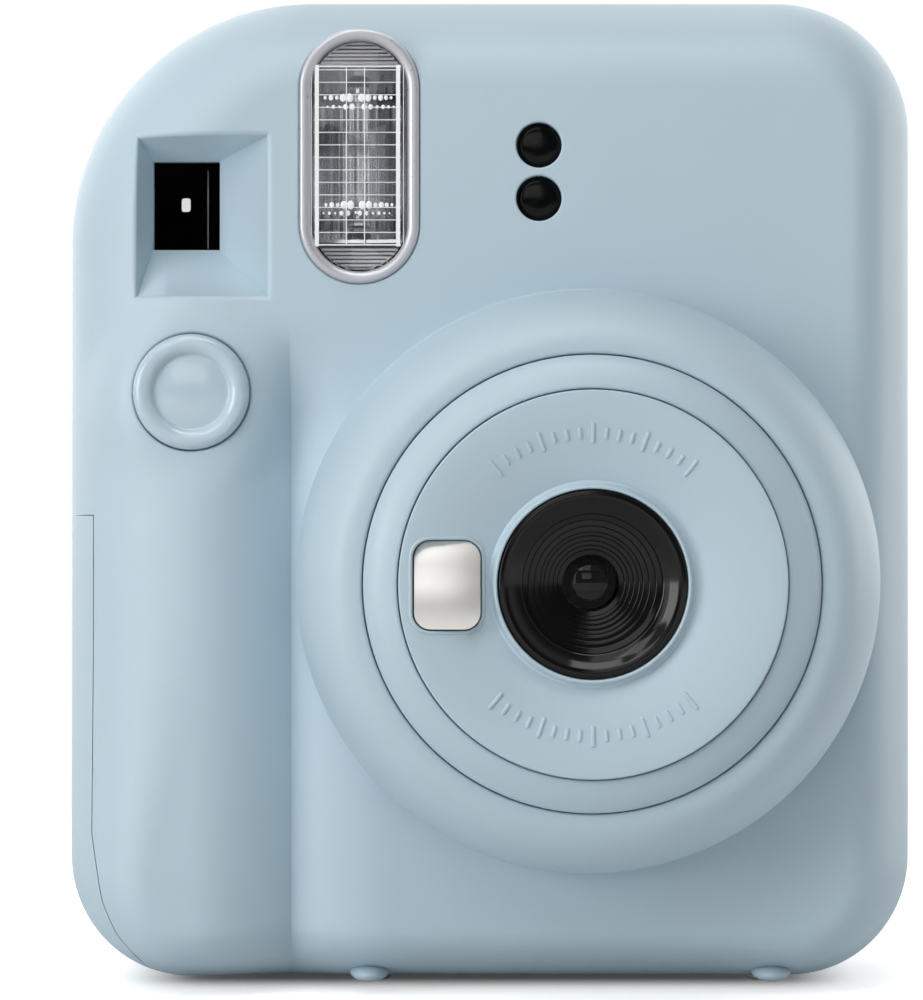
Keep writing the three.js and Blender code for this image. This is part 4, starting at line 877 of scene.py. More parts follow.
def hinge_spans():
    """Where the door's knuckles and the cover's lugs lie along the hinge"""
    low = FILM_DOOR.bottom + HINGE.lug + HINGE.inset
    high = FILM_DOOR.top - HINGE.lug - HINGE.inset - HINGE.length
    knuckles = [(low, low + HINGE.length), (high, high + HINGE.length)]
    lugs = [low - CLEARANCE - HINGE.lug, high + HINGE.length + CLEARANCE]
    return knuckles, [(z, z + HINGE.lug) for z in lugs]


door_x = (FILM_DOOR.left + FILM_DOOR.right) / 2
door_z = (FILM_DOOR.bottom + FILM_DOOR.top) / 2
door_width = FILM_DOOR.right - FILM_DOOR.left
door_height = FILM_DOOR.top - FILM_DOOR.bottom
door_shape = rectangle(door_x, door_z, door_width, door_height, FILM_DOOR.corner)
knuckle_spans, lug_spans = hinge_spans()
hinge_centre = (HINGE.x, HINGE.y, 0)


def knuckle(low, high):
    """A tube round the hinge's pin"""
    bore, radius = HINGE.pin + HINGE.play, HINGE.knuckle
    profile = [(bore, low), (radius, low), (radius, high), (bore, high)]
    return spun(rounded(profile, HINGE.edge, 3, only=[1, 2]), hinge_centre, "z", FEW_SIDES)


rear = mesh_of("rear_cover", make_rear_cover())
hood_middle, hood_half = SLOT.y, SLOT.hood_depth / 2
hood_levels = bevelled(hood_middle - hood_half, hood_middle + hood_half, SLOT.hood_edge)
carve(rear, stacked(hood_shape, hood_levels), operation="UNION")
opening = [FILM_DOOR.bottom - CLEARANCE, FILM_DOOR.top + CLEARANCE]
slot_shape = rectangle(SLOT.x, SLOT.y, SLOT.width, SLOT.depth, SLOT.depth / 2 - SMALL)
strap_hole = rectangle(STRAP.y, STRAP.z, STRAP_HOLE.width, STRAP_HOLE.height, STRAP_HOLE.corner)
strap_floor = HALF_WIDTH - STRAP_HOLE.depth
strap_levels = opened(strap_floor, HALF_WIDTH, HALF_WIDTH + 2 * PAST, STRAP_HOLE.edge)
slot_levels = opened(SLOT.start, TOP + SLOT.rise, TOP + 3 * PAST, SLOT.edge)
door_levels = opened(
    FILM_DOOR.inner - FILM_DOOR.ledge, BACK, BACK + 5 * PAST, FILM_DOOR.gap_edge, CLEARANCE,
)
counter_profile = [
    (0, WELL), (COUNTER.window, WELL), (COUNTER.window, BACK - COUNTER.edge),
    (COUNTER.edge_radius, BACK), (COUNTER.edge_radius, BACK + PAST), (0, BACK + PAST),
]
hinge_floor = HINGE.y - HINGE.knuckle - HINGE.room
cutters = [
    stacked(door_shape, door_levels),
    rod(HINGE.knuckle + HINGE.room, *opening, hinge_centre, "z"),
    box((HINGE.x - HINGE.slit, HINGE.x), (hinge_floor, BACK + 5 * PAST), opening),
    stacked(slot_shape, slot_levels, "z"),
    stacked(strap_hole, strap_levels, "x"),
    block(eye_shape("neck"), WELL + PAST, BACK + 2 * PAST),
    turned(counter_profile, (COUNTER.x, 0, COUNTER.window_z)),
    door_prism(SEAM_GAP),
]
seat = BACK - SCREW.seat_depth
screw_profile = [
    (0, WELL), (SCREW.hole, WELL), (SCREW.hole, seat), (SCREW.seat, seat),
    (SCREW.seat, BACK - SCREW.edge), (SCREW.seat_edge, BACK),
    (SCREW.seat_edge, BACK + PAST), (0, BACK + PAST),
]
cutters += [turned(screw_profile, (x, 0, z)) for x, z in SCREWS]
carve(rear, *cutters, *foot_holes("back"))
for span in lug_spans:
    carve(rear, knuckle(*span), operation="UNION")
    web = (HINGE.x + HINGE.web, HINGE.x + 2 * HINGE.knuckle)
    carve(rear, box(web, HINGE.web_y, span), operation="UNION")
dressed(rear, "rear_cover_shell", BLUE, "rear_cover")


# The film door, crowned like a shallow pillow
DOOR_WINDOW = Sizes(x=11.6, z=30, width=7, height=24, corner=3.5)
WINDOW_RIM = Sizes(play=0.3, floor=1.3, ledge=0.9)
LATCH = Sizes(x=-18, z=57, width=8, height=18, corner=1.5)
POCKET_FLOOR = 1.2
POCKET_EDGE = 0.5


def framed(spec, grown=0.0, steps=12, corner=None):
    """The rounded rectangle that a set of sizes describes"""
    corner = spec.corner if corner is None else corner
    return rectangle(spec.x, spec.z, spec.width + grown, spec.height + grown, corner, steps)


def door_surface(x, z):
    """The film door's crowned face"""
    across = 1 - np.abs((x - door_x) / (door_width / 2)) ** 4
    up = 1 - np.abs((z - door_z) / (door_height / 2)) ** 4
    return BACK + FILM_DOOR.crown * np.clip(across, 0, 1) * np.clip(up, 0, 1)


def dense_loop(points, pitch):
    """A loop with points added along its long sides"""
    made = []
    for a, b in zip(points, np.roll(points, -1, axis=0)):
        count = max(1, int(np.hypot(*(b - a)) / pitch))
        made += [a + (b - a) * k / count for k in range(count)]
    return np.array(made)


def make_film_door():
    piece = Piece()
    base = dense_loop(door_shape(0), PITCH.door_rim)
    rings = lip(piece, base, -loop_normals(base), FILM_DOOR.edge, door_surface, 5, -1)
    rings.append(piece.loop(base, FILM_DOOR.inner))
    piece.bridges(rings)
    piece.cap(rings[-1])
    sheets = []
    window = framed(DOOR_WINDOW, WINDOW_RIM.play)
    for shape, floor in ((window, WINDOW_RIM.floor), (framed(LATCH, steps=8), POCKET_FLOOR)):
        hole = shape(0)
        chain = lip(piece, hole, loop_normals(hole), POCKET_EDGE, door_surface, 5, -1)
        chain.append(piece.loop(hole, FILM_DOOR.inner + floor))
        piece.bridges(chain)
        piece.cap(chain[-1])
        sheets.append(chain[0])
    fill(piece, rings[0], sheets, door_surface, PITCH.door)
    return piece


film_door = mesh_of("film_door", make_film_door())
for span in knuckle_spans:
    arm_x = (FILM_DOOR.right - HINGE.arm, HINGE.x)
    arm = box(arm_x, (FILM_DOOR.inner, HINGE.y + HINGE.arm), span)
    carve(film_door, arm, operation="UNION")
    carve(film_door, rod(HINGE.knuckle - HINGE.overlap, *span, hinge_centre, "z"))
    carve(film_door, knuckle(*span), operation="UNION")
ledge = WINDOW_RIM.ledge
sight = framed(DOOR_WINDOW, -2 * ledge, corner=DOOR_WINDOW.corner - ledge)
carve(film_door, block(sight, FILM_DOOR.inner - PAST, FILM_DOOR.inner + 2 * PAST))
dressed(film_door, "film_door_panel", BLUE, "back_door", "back_door", sharp=30)

# The latch in its pocket, with a ribbed thumb pad
PAD = Sizes(x=-19.2, z=57, width=5, height=15, corner=1, low=29.5, high=31.9, edge=0.35)
RIBS = Sizes(x=(-20.9, -17.5), y=(31.45, 32.5), z=(51.6, 62.6), pitch=1.35, half=0.35)
latch = mesh_of("latch", stacked(framed(PAD, steps=8), bevelled(PAD.low, PAD.high, PAD.edge)))
half = RIBS.half
rib_places = np.arange(*RIBS.z, RIBS.pitch)
carve(latch, *(box(RIBS.x, RIBS.y, (z - half, z + half)) for z in rib_places))
dressed(latch, "door_latch_pad", BLUE_SMOOTH, "door_latch", "door_latch")

# The strap pocket, a cup whose levels list an inset and a place along X
CUP = Sizes(outside=(13, 14, 2.2), inside=(10.6, 11.6, 1.4))
CUP_OUTSIDE = [(0, 44), (0, HALF_WIDTH - 0.45), (0.15, HALF_WIDTH - 0.3)]
CUP_INSIDE = [(0.8, 45.2), (0.2, 45.5), (0, 46), (0, HALF_WIDTH - 0.8), (-0.5, HALF_WIDTH + 1)]
pocket = mesh_of("pocket", stacked(rectangle(STRAP.y, STRAP.z, *CUP.outside), CUP_OUTSIDE, "x"))
carve(pocket, stacked(rectangle(STRAP.y, STRAP.z, *CUP.inside), CUP_INSIDE, "x"))
dressed(pocket, "strap_pocket_cup", BLUE_SMOOTH, "strap_pocket")

# The eyepiece frame, with a soft rim round a funnel
EYE_RIM = [
    (0.25, BACK + 0.02), (0, BACK + 0.25), (0, 31.2), (0.15, 31.65), (0.5, 32.05), (1.0, 32.27),
    (1.5, 32.3), (3.2, 32.3),
]
EYE_FUNNEL = [(0, 26), (0, 29.6), (-0.3, 30.2), (-1.0, 31.4), (-1.9, 32.4), (-1.9, 33)]
eye = mesh_of("eyepiece", stacked(eye_shape("rim"), EYE_RIM))
carve(eye, block(eye_shape("plug"), *EYE_PLUG), operation="UNION")
carve(eye, stacked(eye_shape("funnel"), EYE_FUNNEL))
dressed(eye, "eyepiece_cup", BLACK, "eyepiece_frame")

# Screws with a cross in their head, each turned by its own angle
HEAD = Sizes(radius=1.9, crown=1.4, stem=0.9, tip=24, under=0.9, side=0.5, top=0.3, edge=0.12)
CROSS = Sizes(x=(-1.05, 1.05), y=(BACK - 0.75, BACK), z=(-0.2, 0.2))


def spin(verts, x, z, angle):
    """Turns points about the Y axis and moves them to a place in X and Z"""
    cos, sin = math.cos(angle), math.sin(angle)
    return [(x + p[0] * cos - p[2] * sin, p[1], z + p[0] * sin + p[2] * cos) for p in verts]


under, side, top = BACK - HEAD.under, BACK - HEAD.side, BACK - HEAD.top
head_profile = [
    (0, HEAD.tip), (HEAD.stem, HEAD.tip), (HEAD.stem, under), (HEAD.radius, under),
    (HEAD.radius, side), (HEAD.crown, top), (0, top),
]
head_profile = rounded(head_profile, HEAD.edge, 2, False, only=[3, 4, 5])
for k, ((x, z), degrees) in enumerate(SCREWS.items(), 1):
    head = mesh_of("screw", turned(head_profile, (x, 0, z)))
    for angle in (math.radians(degrees), math.radians(degrees) + math.pi / 2):
        groove = box(CROSS.x, CROSS.y, CROSS.z)
        groove.verts = spin(groove.verts, x, z, angle)
        carve(head, groove)
    dressed(head, f"cover_screw_{k}_cross", STEEL, f"cover_screw_{k}")

# The feet, and the shell's blister over each front foot
FOOT_PROFILE = [
    (0, 0.02), (1.6, 0.02), (2.1, 0.12), (FEET.radius, 0.4), (FEET.radius, 0.7), (FEET.stem, 0.7),
    (FEET.stem, FEET.top), (0, FEET.top),
]
BLISTER = Sizes(y=-6.9, z=2.4, radii=np.array([2.35, 3.9, 1.08]))
for side, x in zip(("left", "right"), FEET.x):
    for end in ("front", "back"):
        foot = turned(FOOT_PROFILE, (x, FEET.y[end], 0), "z")
        add(f"foot_{end}_{side}_dome", foot, WHITE, f"foot_{end}_{side}")
for side, x in zip(("left", "right"), FEET.x):
    arc = [(math.sin(t), -math.cos(t)) for t in np.linspace(0, math.pi, 24)]
    blister = turned(arc, (0, 0, 0), "z")
    place = np.array([x, BLISTER.y, BLISTER.z])
    blister.verts = [tuple(place + BLISTER.radii * np.array(vert)) for vert in blister.verts]
    add(f"foot_blister_{side}", blister, BLUE_SMOOTH)

# The shutter button: a rounded ring round a shallow dish
BUTTON_PROFILE = [
    (0, -16.3), (1.2, -16.28), (2.2, -16.21), (3.1, -16.1), (3.8, -15.98), (4.3, -15.88), (4.46, -15.87),
    (4.54, -15.95), (4.66, -16.2), (4.85, -16.45), (5.1, -16.63), (5.45, -16.77), (5.8, -16.81),
    (6.15, -16.77), (6.45, -16.63), (6.7, -16.4), (6.86, -16.08), (6.94, -15.7), (6.94, -14.4),
    (7.5, -14.4), (7.5, -13.7), (2, -13.7), (2, -12.2), (0, -12.2),
]
button = turned(BUTTON_PROFILE, (BUTTON.x, 0, BUTTON.z), sides=SIDES // 2)
add("shutter_button_cap", button, BLUE_GLOSSY, "shutter_button", "shutter_button", 50)

# The two sensor windows
SENSOR_PROFILE = [
    (0, -13.45), (1.2, -13.43), (2.0, -13.36), (2.38, -13.24), (2.52, -13.05), (2.52, -12), (3.2, -12),
    (3.2, -11), (0, -11),
]
for z, place in zip(SENSOR.z, ("upper", "lower")):
    window = turned(SENSOR_PROFILE, (SENSOR.x, 0, z))
    node = f"sensor_window_{place}"
    add(f"{node}_lens", window, GLOSS, node, sharp=50)


# The lens ring, the barrel and what it carries
RING_PROFILE = [
    (22.52, -14.3), (22.52, -32.4), (23.1, -32.35), (24.5, -31.7), (25.7, -31.15), (26.48, -30.0),
    (26.48, -14.3),
]
RING_EDGE = 0.35
ring = spun(rounded(RING_PROFILE, RING_EDGE, 4, only=[1, 5]), LENS)
add("lens_ring_shell", ring, BLUE_SMOOTH, "lens_ring", "lens_ring")
DISH = Sizes(inner=12.0, outer=22.0, low=-31.0, high=-33.22, power=1.6)
DISC_INNER = [
    (11, -16), (11, -31.9), (11.07, -32.04), (11.2, -32.1), (11.35, -32.04), (11.45, -31.85),
    (11.55, -31.55), (11.75, -31.12),
]
DISC_OUTER = [
    (22.2, -33.2), (22.33, -33.08), (22.37, -32.9), (22.37, -13), (20.2, -13), (20.2, -29.6),
    (12.8, -29.6), (12.8, -16),
]
MIRROR_PLACE = Sizes(
    x=-5.15, z=50.1, width=7.8, height=10.3, corner=2.0,
    bulge=24, low=3.4, face=-33.2, gap=0.1, back=-30.7, side_end=-31.5,
    hole=(-30.4, -34),
)
MIRROR_INSETS = [0.12, 0.3, 0.7, 1.1, 1.5, 1.9, 2.3, 2.7, 3.1, 3.5, 3.8]
# Levels this far out or further are put on a curved face afterwards
PARKED = -40
FRAME_LEVELS = [(-0.08, -31), (-0.08, -50), (-0.2, -50.12), (-0.36, -50.12), (-0.5, -50), (-0.5, -31)]
FRAME_TOP = 49.93


def dish(radius):
    """The depth of the barrel's hollow face at a distance from the lens axis"""
    share = np.clip((radius - DISH.inner) / (DISH.outer - DISH.inner), 0, 1)
    return DISH.low + (DISH.high - DISH.low) * (1 - (1 - share) ** DISH.power)


def dish_at(x, z):
    return float(dish(math.hypot(x - LENS[0], z - LENS[2])))


def bulged(point):
    """Lifts a point of the mirror's face onto a shallow ball"""
    x, y, z = point
    away = (x - MIRROR_PLACE.x)**2 / 2 + (z - MIRROR_PLACE.z + MIRROR_PLACE.low)**2
    face = MIRROR_PLACE.face + away / (2 * MIRROR_PLACE.bulge)
    return (x, face, z) if y <= PARKED else point


def mirror_curved(places, centres, facing):
    """Exact normals on the mirror's face"""
    slope_x = (places[:, 0] - MIRROR_PLACE.x) / MIRROR_PLACE.bulge / 2
    slope_z = (places[:, 2] - MIRROR_PLACE.z + MIRROR_PLACE.low) / MIRROR_PLACE.bulge
    normals = unit_rows(np.stack([slope_x, -np.ones(len(slope_x)), slope_z], 1))
    past_side = places[:, 1] < MIRROR_PLACE.side_end - MIRROR_PLACE.gap
    on = past_side & (np.sum(normals * facing, axis=1) > ALONG)
    return on, normals


face = [(r, float(dish(r))) for r in np.linspace(DISH.inner, DISH.outer, 24)]
barrel = mesh_of("barrel", spun(DISC_INNER + face + DISC_OUTER, LENS))
mirror_shape = framed(MIRROR_PLACE, steps=8)
carve(barrel, stacked(mirror_shape, [(-MIRROR_PLACE.gap, level) for level in MIRROR_PLACE.hole]))
dressed(barrel, "lens_barrel_shell", BLUE_SMOOTH, "lens_barrel", "lens_barrel")
plate_levels = [(0, MIRROR_PLACE.back), (0, MIRROR_PLACE.side_end)]
plate_levels += [(inset, PARKED) for inset in MIRROR_INSETS]
plate = stacked(mirror_shape, plate_levels)
plate.verts = [bulged(p) for p in plate.verts]
mirror = mesh_of("mirror", plate)
dressed(
    mirror, "selfie_mirror_plate", MIRROR, "selfie_mirror", "lens_barrel",
    curved=mirror_curved,
)
frame_ring = stacked(mirror_shape, FRAME_LEVELS, hollow=True)
frame_ring.verts = [
    (x, dish_at(x, z) + y + FRAME_TOP if y <= PARKED else y, z) for x, y, z in frame_ring.verts
]
add("mirror_frame", frame_ring, BLUE_SMOOTH, body="lens_barrel", sharp=60)

# The black bowl round the lens, with its steps down to the glass
BOWL_RIM = [
    (10.96, -16), (10.96, -31.5), (10.9, -31.75), (10.7, -31.9), (10.2, -31.92), (9.95, -31.88),
    (9.75, -31.78), (9.5, -31.6), (9.2, -31.38), (8.9, -31.2), (8.6, -31.06), (8.3, -30.96),
    (8.15, -30.9), (8.08, -30.8), (8.05, -30.6), (8.05, -28.9),
]
BOWL_FOOT = [(3.35, -24.4), (3.3, -23), (6.3, -23), (6.3, -16)]
STEPS = Sizes(radii=(7.4, 6.66, 5.97, 5.51, 4.94, 4.4, 3.9), first=-28.8, pitch=0.62)
STEP_PROFILE = [(0.14, 0), (0.06, 0.02), (0, 0.09), (-0.05, 0.6)]
bowl = list(BOWL_RIM)
for k, radius in enumerate(STEPS.radii):
    depth = STEPS.first + STEPS.pitch * k
    bowl += [(radius + out, depth + down) for out, down in STEP_PROFILE]
bowl = spun(bowl + BOWL_FOOT, LENS)
add("lens_bezel_bowl", bowl, LENS_BLACK, "lens_bezel", "lens_barrel", 40)

# The front lens, and the square opening of the aperture plate behind it
BALL = Sizes(radius=5.5, top=-25.0, edge=3.2)
GLASS_FOOT = [(3.25, -22.7), (6.0, -22.7), (6.0, -20.1), (0, -20.1)]
APERTURE = Sizes(radius=6, span=(-19.8, -19.3), side=4.3, corner=0.5, hole_span=(-20.5, -18.5))
PIN = Sizes(radius=0.4, span=(-19.5, -18.35), away=4.2)
sunk = BALL.top + BALL.radius
dome = [(r, sunk - math.sqrt(BALL.radius**2 - r**2)) for r in np.linspace(0, BALL.edge, 14)]
glass = turned(dome + GLASS_FOOT, LENS, sides=SIDES // 2)
add("front_lens_element", glass, GLASS, "front_lens", "lens_barrel", 40)
plate = mesh_of("aperture", rod(APERTURE.radius, *APERTURE.span, LENS))
hole = rectangle(LENS[0], LENS[2], APERTURE.side, APERTURE.side, APERTURE.corner, 4)
carve(plate, block(hole, *APERTURE.hole_span))
pin = rod(PIN.radius, *PIN.span, (LENS[0] + PIN.away, 0, LENS[2]))
carve(plate, pin, operation="UNION")
dressed(plate, "aperture_plate_square", BLACK, "aperture_plate", "lens_barrel")

# Raised ticks on the barrel's face, like the marks of a dial
TICKS = Sizes(
    radius=17.4, step=5.0, rise=0.2, long=2.4, short=1.4, width=0.45,
    middles=(90, 270), each_way=8, long_every=4,
)


def tick(angle, length):
    """A small raised bar on the barrel's face, lying along the radius"""
    width, rise = TICKS.width, TICKS.rise
    shape = rectangle(0, 0, length, width, width / 2 - SMALL, 5)
    piece = stacked(shape, [(0, 0.35), (0, -0.5 * rise), (0.12 * width, -0.85 * rise), (0.3 * width, -rise)])
    outward = [(TICKS.radius + along, y, across) for along, y, across in piece.verts]
    placed = spin(outward, LENS[0], LENS[2], angle)
    piece.verts = [(x, dish_at(x, z) + y, z) for x, y, z in placed]
    return piece


marks = []
for middle in TICKS.middles:
    for k in range(-TICKS.each_way, TICKS.each_way + 1):
        length = TICKS.short if k % TICKS.long_every else TICKS.long
        marks.append(tick(math.radians(middle + k * TICKS.step), length))
add("barrel_ticks", gather(marks), BLUE_SMOOTH, body="lens_barrel")

# The flash: a clear front in a pewter rim, ridges on its back, and the reflector and tube behind it
PILL = Sizes(width=14.4, height=30.6, corner=7.13, pane_inset=1.65)
PANE_SLAB = (-13.85, -13.2, 0.15)
FLASH_RIM = [
    (0, -8.5), (0, -13.95), (0.12, -14.2), (0.32, -14.34), (0.6, -14.38), (0.95, -14.3), (1.25, -14.1),
    (1.42, -13.85), (1.5, -13.5), (1.5, -12), (0.4, -11.8), (0.4, -8.5),
]


def pill(inset):
    """The pill-shaped front of the flash, made smaller all round by an inset"""
    width, height = PILL.width - 2 * inset, PILL.height - 2 * inset
    return rectangle(FLASH.x, FLASH.z, width, height, PILL.corner - inset, 24)


flash_rim = stacked(pill(0), FLASH_RIM, hollow=True)
flash_pane = stacked(pill(PILL.pane_inset), bevelled(*PANE_SLAB))
add("flash_rim", flash_rim, PEWTER, "flash_window", sharp=60)
add("flash_pane", flash_pane, CLEAR, "flash_window")
# The grid's white bars are painted highlights: they stand in for the clear front's ridges catching the light
GRID = Sizes(
    left=-21.2, right=-10.75, bottom=90.5, top=111.9, pitch=1.5,
    half=0.06, end_half=0.09, depths=(-13.97, -13.8), end_depths=(-14.02, -13.81),
)
# Lines along Z list their place, half their width, how far they reach past the grid, and their depths
UPRIGHTS = [
    (-17.3, 0.07, 0, (-14.0, -13.82)), (-15.13, 0.07, 0, (-14.0, -13.82)),
    (-20.85, 0.26, 0.2, (-14.05, -13.83)), (-11.1, 0.26, 0.2, (-14.05, -13.83)),
    (-21.5, 0.05, 0.2, (-14.05, -13.83)), (-10.45, 0.05, 0.2, (-14.05, -13.83)),
]
FLASH_RIBS = Sizes(
    count=7, start=0.35, pitch=0.45, width=0.3, straight=8.1, radius=5.45,
    front=-13.1, sinking=0.1, back=-11.9,
)


def bar(x, z, depths):
    """A thin bar from its spans, with the edge of its front broken"""
    edge = 0.02
    shape = rectangle(sum(x) / 2, sum(z) / 2, x[1] - x[0], z[1] - z[0], edge, 2)
    return stacked(shape, [(edge, depths[0]), (0, depths[1])])


lines = []
across = (GRID.left, GRID.right)
for k in range(1, 1 + int((GRID.top - GRID.bottom) / GRID.pitch)):
    z = GRID.bottom + k * GRID.pitch
    lines.append(bar(across, (z - GRID.half, z + GRID.half), GRID.depths))
for x, half, over, depths in UPRIGHTS:
    lines.append(bar((x - half, x + half), (GRID.bottom - over, GRID.top + over), depths))
for z in (GRID.bottom, GRID.top):
    lines.append(bar(across, (z - GRID.end_half, z + GRID.end_half), GRID.end_depths))
add("flash_grid", gather(lines), PAINTED_GLINT)
ribs = []
for side, edge in ((1, GRID.top), (-1, GRID.bottom)):
    for k in range(FLASH_RIBS.count):
        z = edge + side * FLASH_RIBS.start + side * FLASH_RIBS.pitch * k
        past = abs(z - FLASH.z) - FLASH_RIBS.straight
        half = math.sqrt(max(FLASH_RIBS.radius**2 - past**2, 0.3))
        low, high = sorted((z, z + side * FLASH_RIBS.width))
        front = FLASH_RIBS.front + FLASH_RIBS.sinking * k
        ribs.append(bar((FLASH.x - half, FLASH.x + half), (low, high), (front, FLASH_RIBS.back)))
add("flash_ribs", gather(ribs), PEWTER)

REFLECTOR = Sizes(
    x=FLASH.x - 0.25, half=5.5, front=-12.3, back=-4.6, wall=0.5,
    bottom=90.9, top=112.3, end=0.4, lean=0.35, ripple=0.07, ripples=34,
)


def trough(offset):
    """The reflector's rippled parabola in X and Y, moved outward by an offset"""
    share = np.linspace(-1, 1, 160 // COARSE + 1)
    depth = REFLECTOR.back - REFLECTOR.front
    x = REFLECTOR.x + share * REFLECTOR.half
    y = REFLECTOR.back - depth * share**2 + REFLECTOR.ripple * np.cos(share * REFLECTOR.ripples)
    slope_x, slope_y = np.full(len(share), REFLECTOR.half), -2 * depth * share
    size = np.hypot(slope_x, slope_y)
    return np.stack([x - offset * slope_y / size, y + offset * slope_x / size], 1)


inner, outer = trough(0), trough(REFLECTOR.wall)
section = np.concatenate([inner, outer[::-1]])
pieces = [stacked(lambda _: section, [(0, REFLECTOR.bottom), (0, REFLECTOR.top)], "z")]
end, lean = REFLECTOR.end, REFLECTOR.lean
for base, slope in ((REFLECTOR.bottom, lean), (REFLECTOR.top - end, -lean)):
    wall = stacked(lambda _: inner[1:-1], [(0, base), (0, base + end)], "z")
    wall.verts = [(x, y, z + slope * (y - REFLECTOR.front)) for x, y, z in wall.verts]
    pieces.append(wall)
add("flash_reflector_trough", gather(pieces), CHROME, "flash_reflector", sharp=40)

# The flash tube with a metal cap at each end
TUBE = Sizes(y=-7.2, radius=1.0, low=94.2, high=109.2, rounding=0.5)
CAPS = Sizes(spans=((93.6, 95.4), (108.0, 109.8)), radius=1.3, lip=1.05, floor=0.3, edge=0.15)
tube_place = (REFLECTOR.x, TUBE.y, 0)
radius, low, high = TUBE.radius, TUBE.low, TUBE.high
profile = rounded([(0, low), (radius, low), (radius, high), (0, high)], TUBE.rounding, 3, False)
flash_tube = turned(profile, tube_place, "z")
add("flash_tube_glass", flash_tube, CLEAR, "flash_tube")
caps = []
for low, high in CAPS.spans:
    floor = low + CAPS.floor
    profile = [(0, low), (CAPS.radius, low), (CAPS.radius, high), (CAPS.lip, high)]
    profile += [(CAPS.lip, floor), (0, floor)]
    caps.append(turned(rounded(profile, CAPS.edge, 2, False), tube_place, "z"))
add("flash_tube_ends", gather(caps), CHROME)

# Rows of small white beads across the flash's front: painted reflections that stand in for the tube's ends
# lighting up in it
GLINT_BEAD = Sizes(x=FLASH.x - 0.2, y=-13.87, flat_share=0.25, tall_share=1.15)
# Each bead lists its place along a row and its size, and each row its height, its growth and its shift
GLINT_BEADS = [
    (-3.9, 0.2), (-3.2, 0.3), (-2.5, 0.22), (-1.75, 0.42), (-0.95, 0.46), (0.45, 0.44), (1.25, 0.4),
    (2.05, 0.24), (2.75, 0.32), (3.4, 0.25), (4.0, 0.18),
]
ROWS = [(108.15, 1.0, 0), (107.05, 0.72, 0.3), (95.3, 1.0, 0.1), (94.3, 0.6, -0.2)]
beads = []
for level, grown, moved in ROWS:
    for away, size in GLINT_BEADS:
        size = size * grown
        tall = GLINT_BEAD.tall_share * size
        ball = [(size * math.sin(t), level - tall * math.cos(t)) for t in np.linspace(0, math.pi, 7)]
        bead = turned(ball, (GLINT_BEAD.x + away + moved, 0, 0), "z", 14)
        bead.verts = [(x, GLINT_BEAD.y + GLINT_BEAD.flat_share * y, z) for x, y, z in bead.verts]
        beads.append(bead)
add("flash_painted_reflections", gather(beads), PAINTED_GLINT)


# The finder: a clear front over a black tube, and a mask with the small opening that one sees through
FINDER_EDGE = ((-35.1, -34.98), (2.0, 2.5), (91.2, 100.9))
# Each outline lists its middle in X and Z, its width, its height and its corner
FINDER = {
    "pane": (-37.1, 95.8, 10, 12.6, 0.8), "tube": (-37.5, 96.3, 11.2, 13.4, 0.6),
    "bore": (-37.5, 96.3, 9.3, 11.5, 0.3), "mask": (-37.5, 96.3, 9.2, 11.4, 0.3),
    "hole": (-38.33, 97.2, 1.16, 1.75, 0.35, 4), "lens": (EYEPIECE.x, EYEPIECE.z, 8.3, 7.3, 1.5),
}
FINDER_SPANS = {"tube": (-4.6, 26.5), "bore": (-6, 28), "mask": (9.2, 9.8), "hole": (8, 11)}
# The slabs of glass list their front, their back, their edge and the steps round it
FINDER_SLABS = {"pane": (-6.2, -4.8, 0.1, 3), "lens": (27.1, 28.9, 0.5, 4)}
shapes = {key: rectangle(*spec) for key, spec in FINDER.items()}
blocks = {key: block(shapes[key], *span) for key, span in FINDER_SPANS.items()}
slabs = {key: stacked(shapes[key], bevelled(*spec)) for key, spec in FINDER_SLABS.items()}
add("finder_objective_pane", slabs["pane"], PANE, "finder_objective")
tube = mesh_of("tube", blocks["tube"])
carve(tube, blocks["bore"])
dressed(tube, "finder_tube_black", FLAT_BLACK, "finder_tube")
mask = mesh_of("mask", blocks["mask"])
carve(mask, blocks["hole"])
dressed(mask, "finder_mask", FLAT_BLACK)
add("finder_edge", box(*FINDER_EDGE), STEEL)
add("eyepiece_lens_pane", slabs["lens"], CLEAR, "eyepiece_lens")

# Plain numbers for the pictures left, on the counter's wheel
NUMBERS = Sizes(first=10, step=27.5, size=2.6, thick=0.03, radius=4.6, y=27.93)
digits = []
for k in range(NUMBERS.first + 1):
    words = bpy.data.curves.new("number", "FONT")
    words.body = str(NUMBERS.first - k)
    words.size = NUMBERS.size * MM
    words.extrude = NUMBERS.thick * MM
    words.align_x, words.align_y = "CENTER", "CENTER"
    number = bpy.data.objects.new("number", words)
    flat = bpy.data.meshes.new_from_object(number)
    made = Piece()
    upright = [
        (-v.co.x / MM, NUMBERS.y + v.co.z / MM, v.co.y / MM + NUMBERS.radius) for v in flat.vertices
    ]
    made.verts = spin(upright, COUNTER.x, COUNTER.z, math.radians(NUMBERS.step * k))
    made.faces = [tuple(p.vertices) for p in flat.polygons]
    digits.append(made)
    bpy.data.objects.remove(number)
add("counter_numbers", gather(digits), INK, body="counter_wheel")

# Materials of the frame's own pieces
FINISHES = {
    FLAT_BLACK: ["dark_box", "shutter_blade", "focus_sleeve"],
    BLACK: ["chassis", "film_pack", "battery_holder", "shutter_switch"],
    STEEL: [
        "drive_roller", "pinch_roller", "film_motor", "film_claw", "battery_contact_bottom",
        "battery_contact_top", "hinge_pin", "strap_bar", "pressure_pad_left", "pressure_pad_right",
    ],
    WHITE: ["reduction_gear", "motor_pinion", "counter_wheel"],
    GLOSS: ["flash_capacitor"],
    BOARD: ["circuit_board"],
    WRAP: ["battery_front", "battery_back"],
    GLASS: ["rear_lens"],
    CLEAR: ["counter_window", "door_window"],
}
for material, names in FINISHES.items():
    for name in names:
        for slot in bpy.data.objects[name].material_slots:
            slot.material = material


# The room: a plain pale floor and soft light
AIM = (0, 0, 0.06)
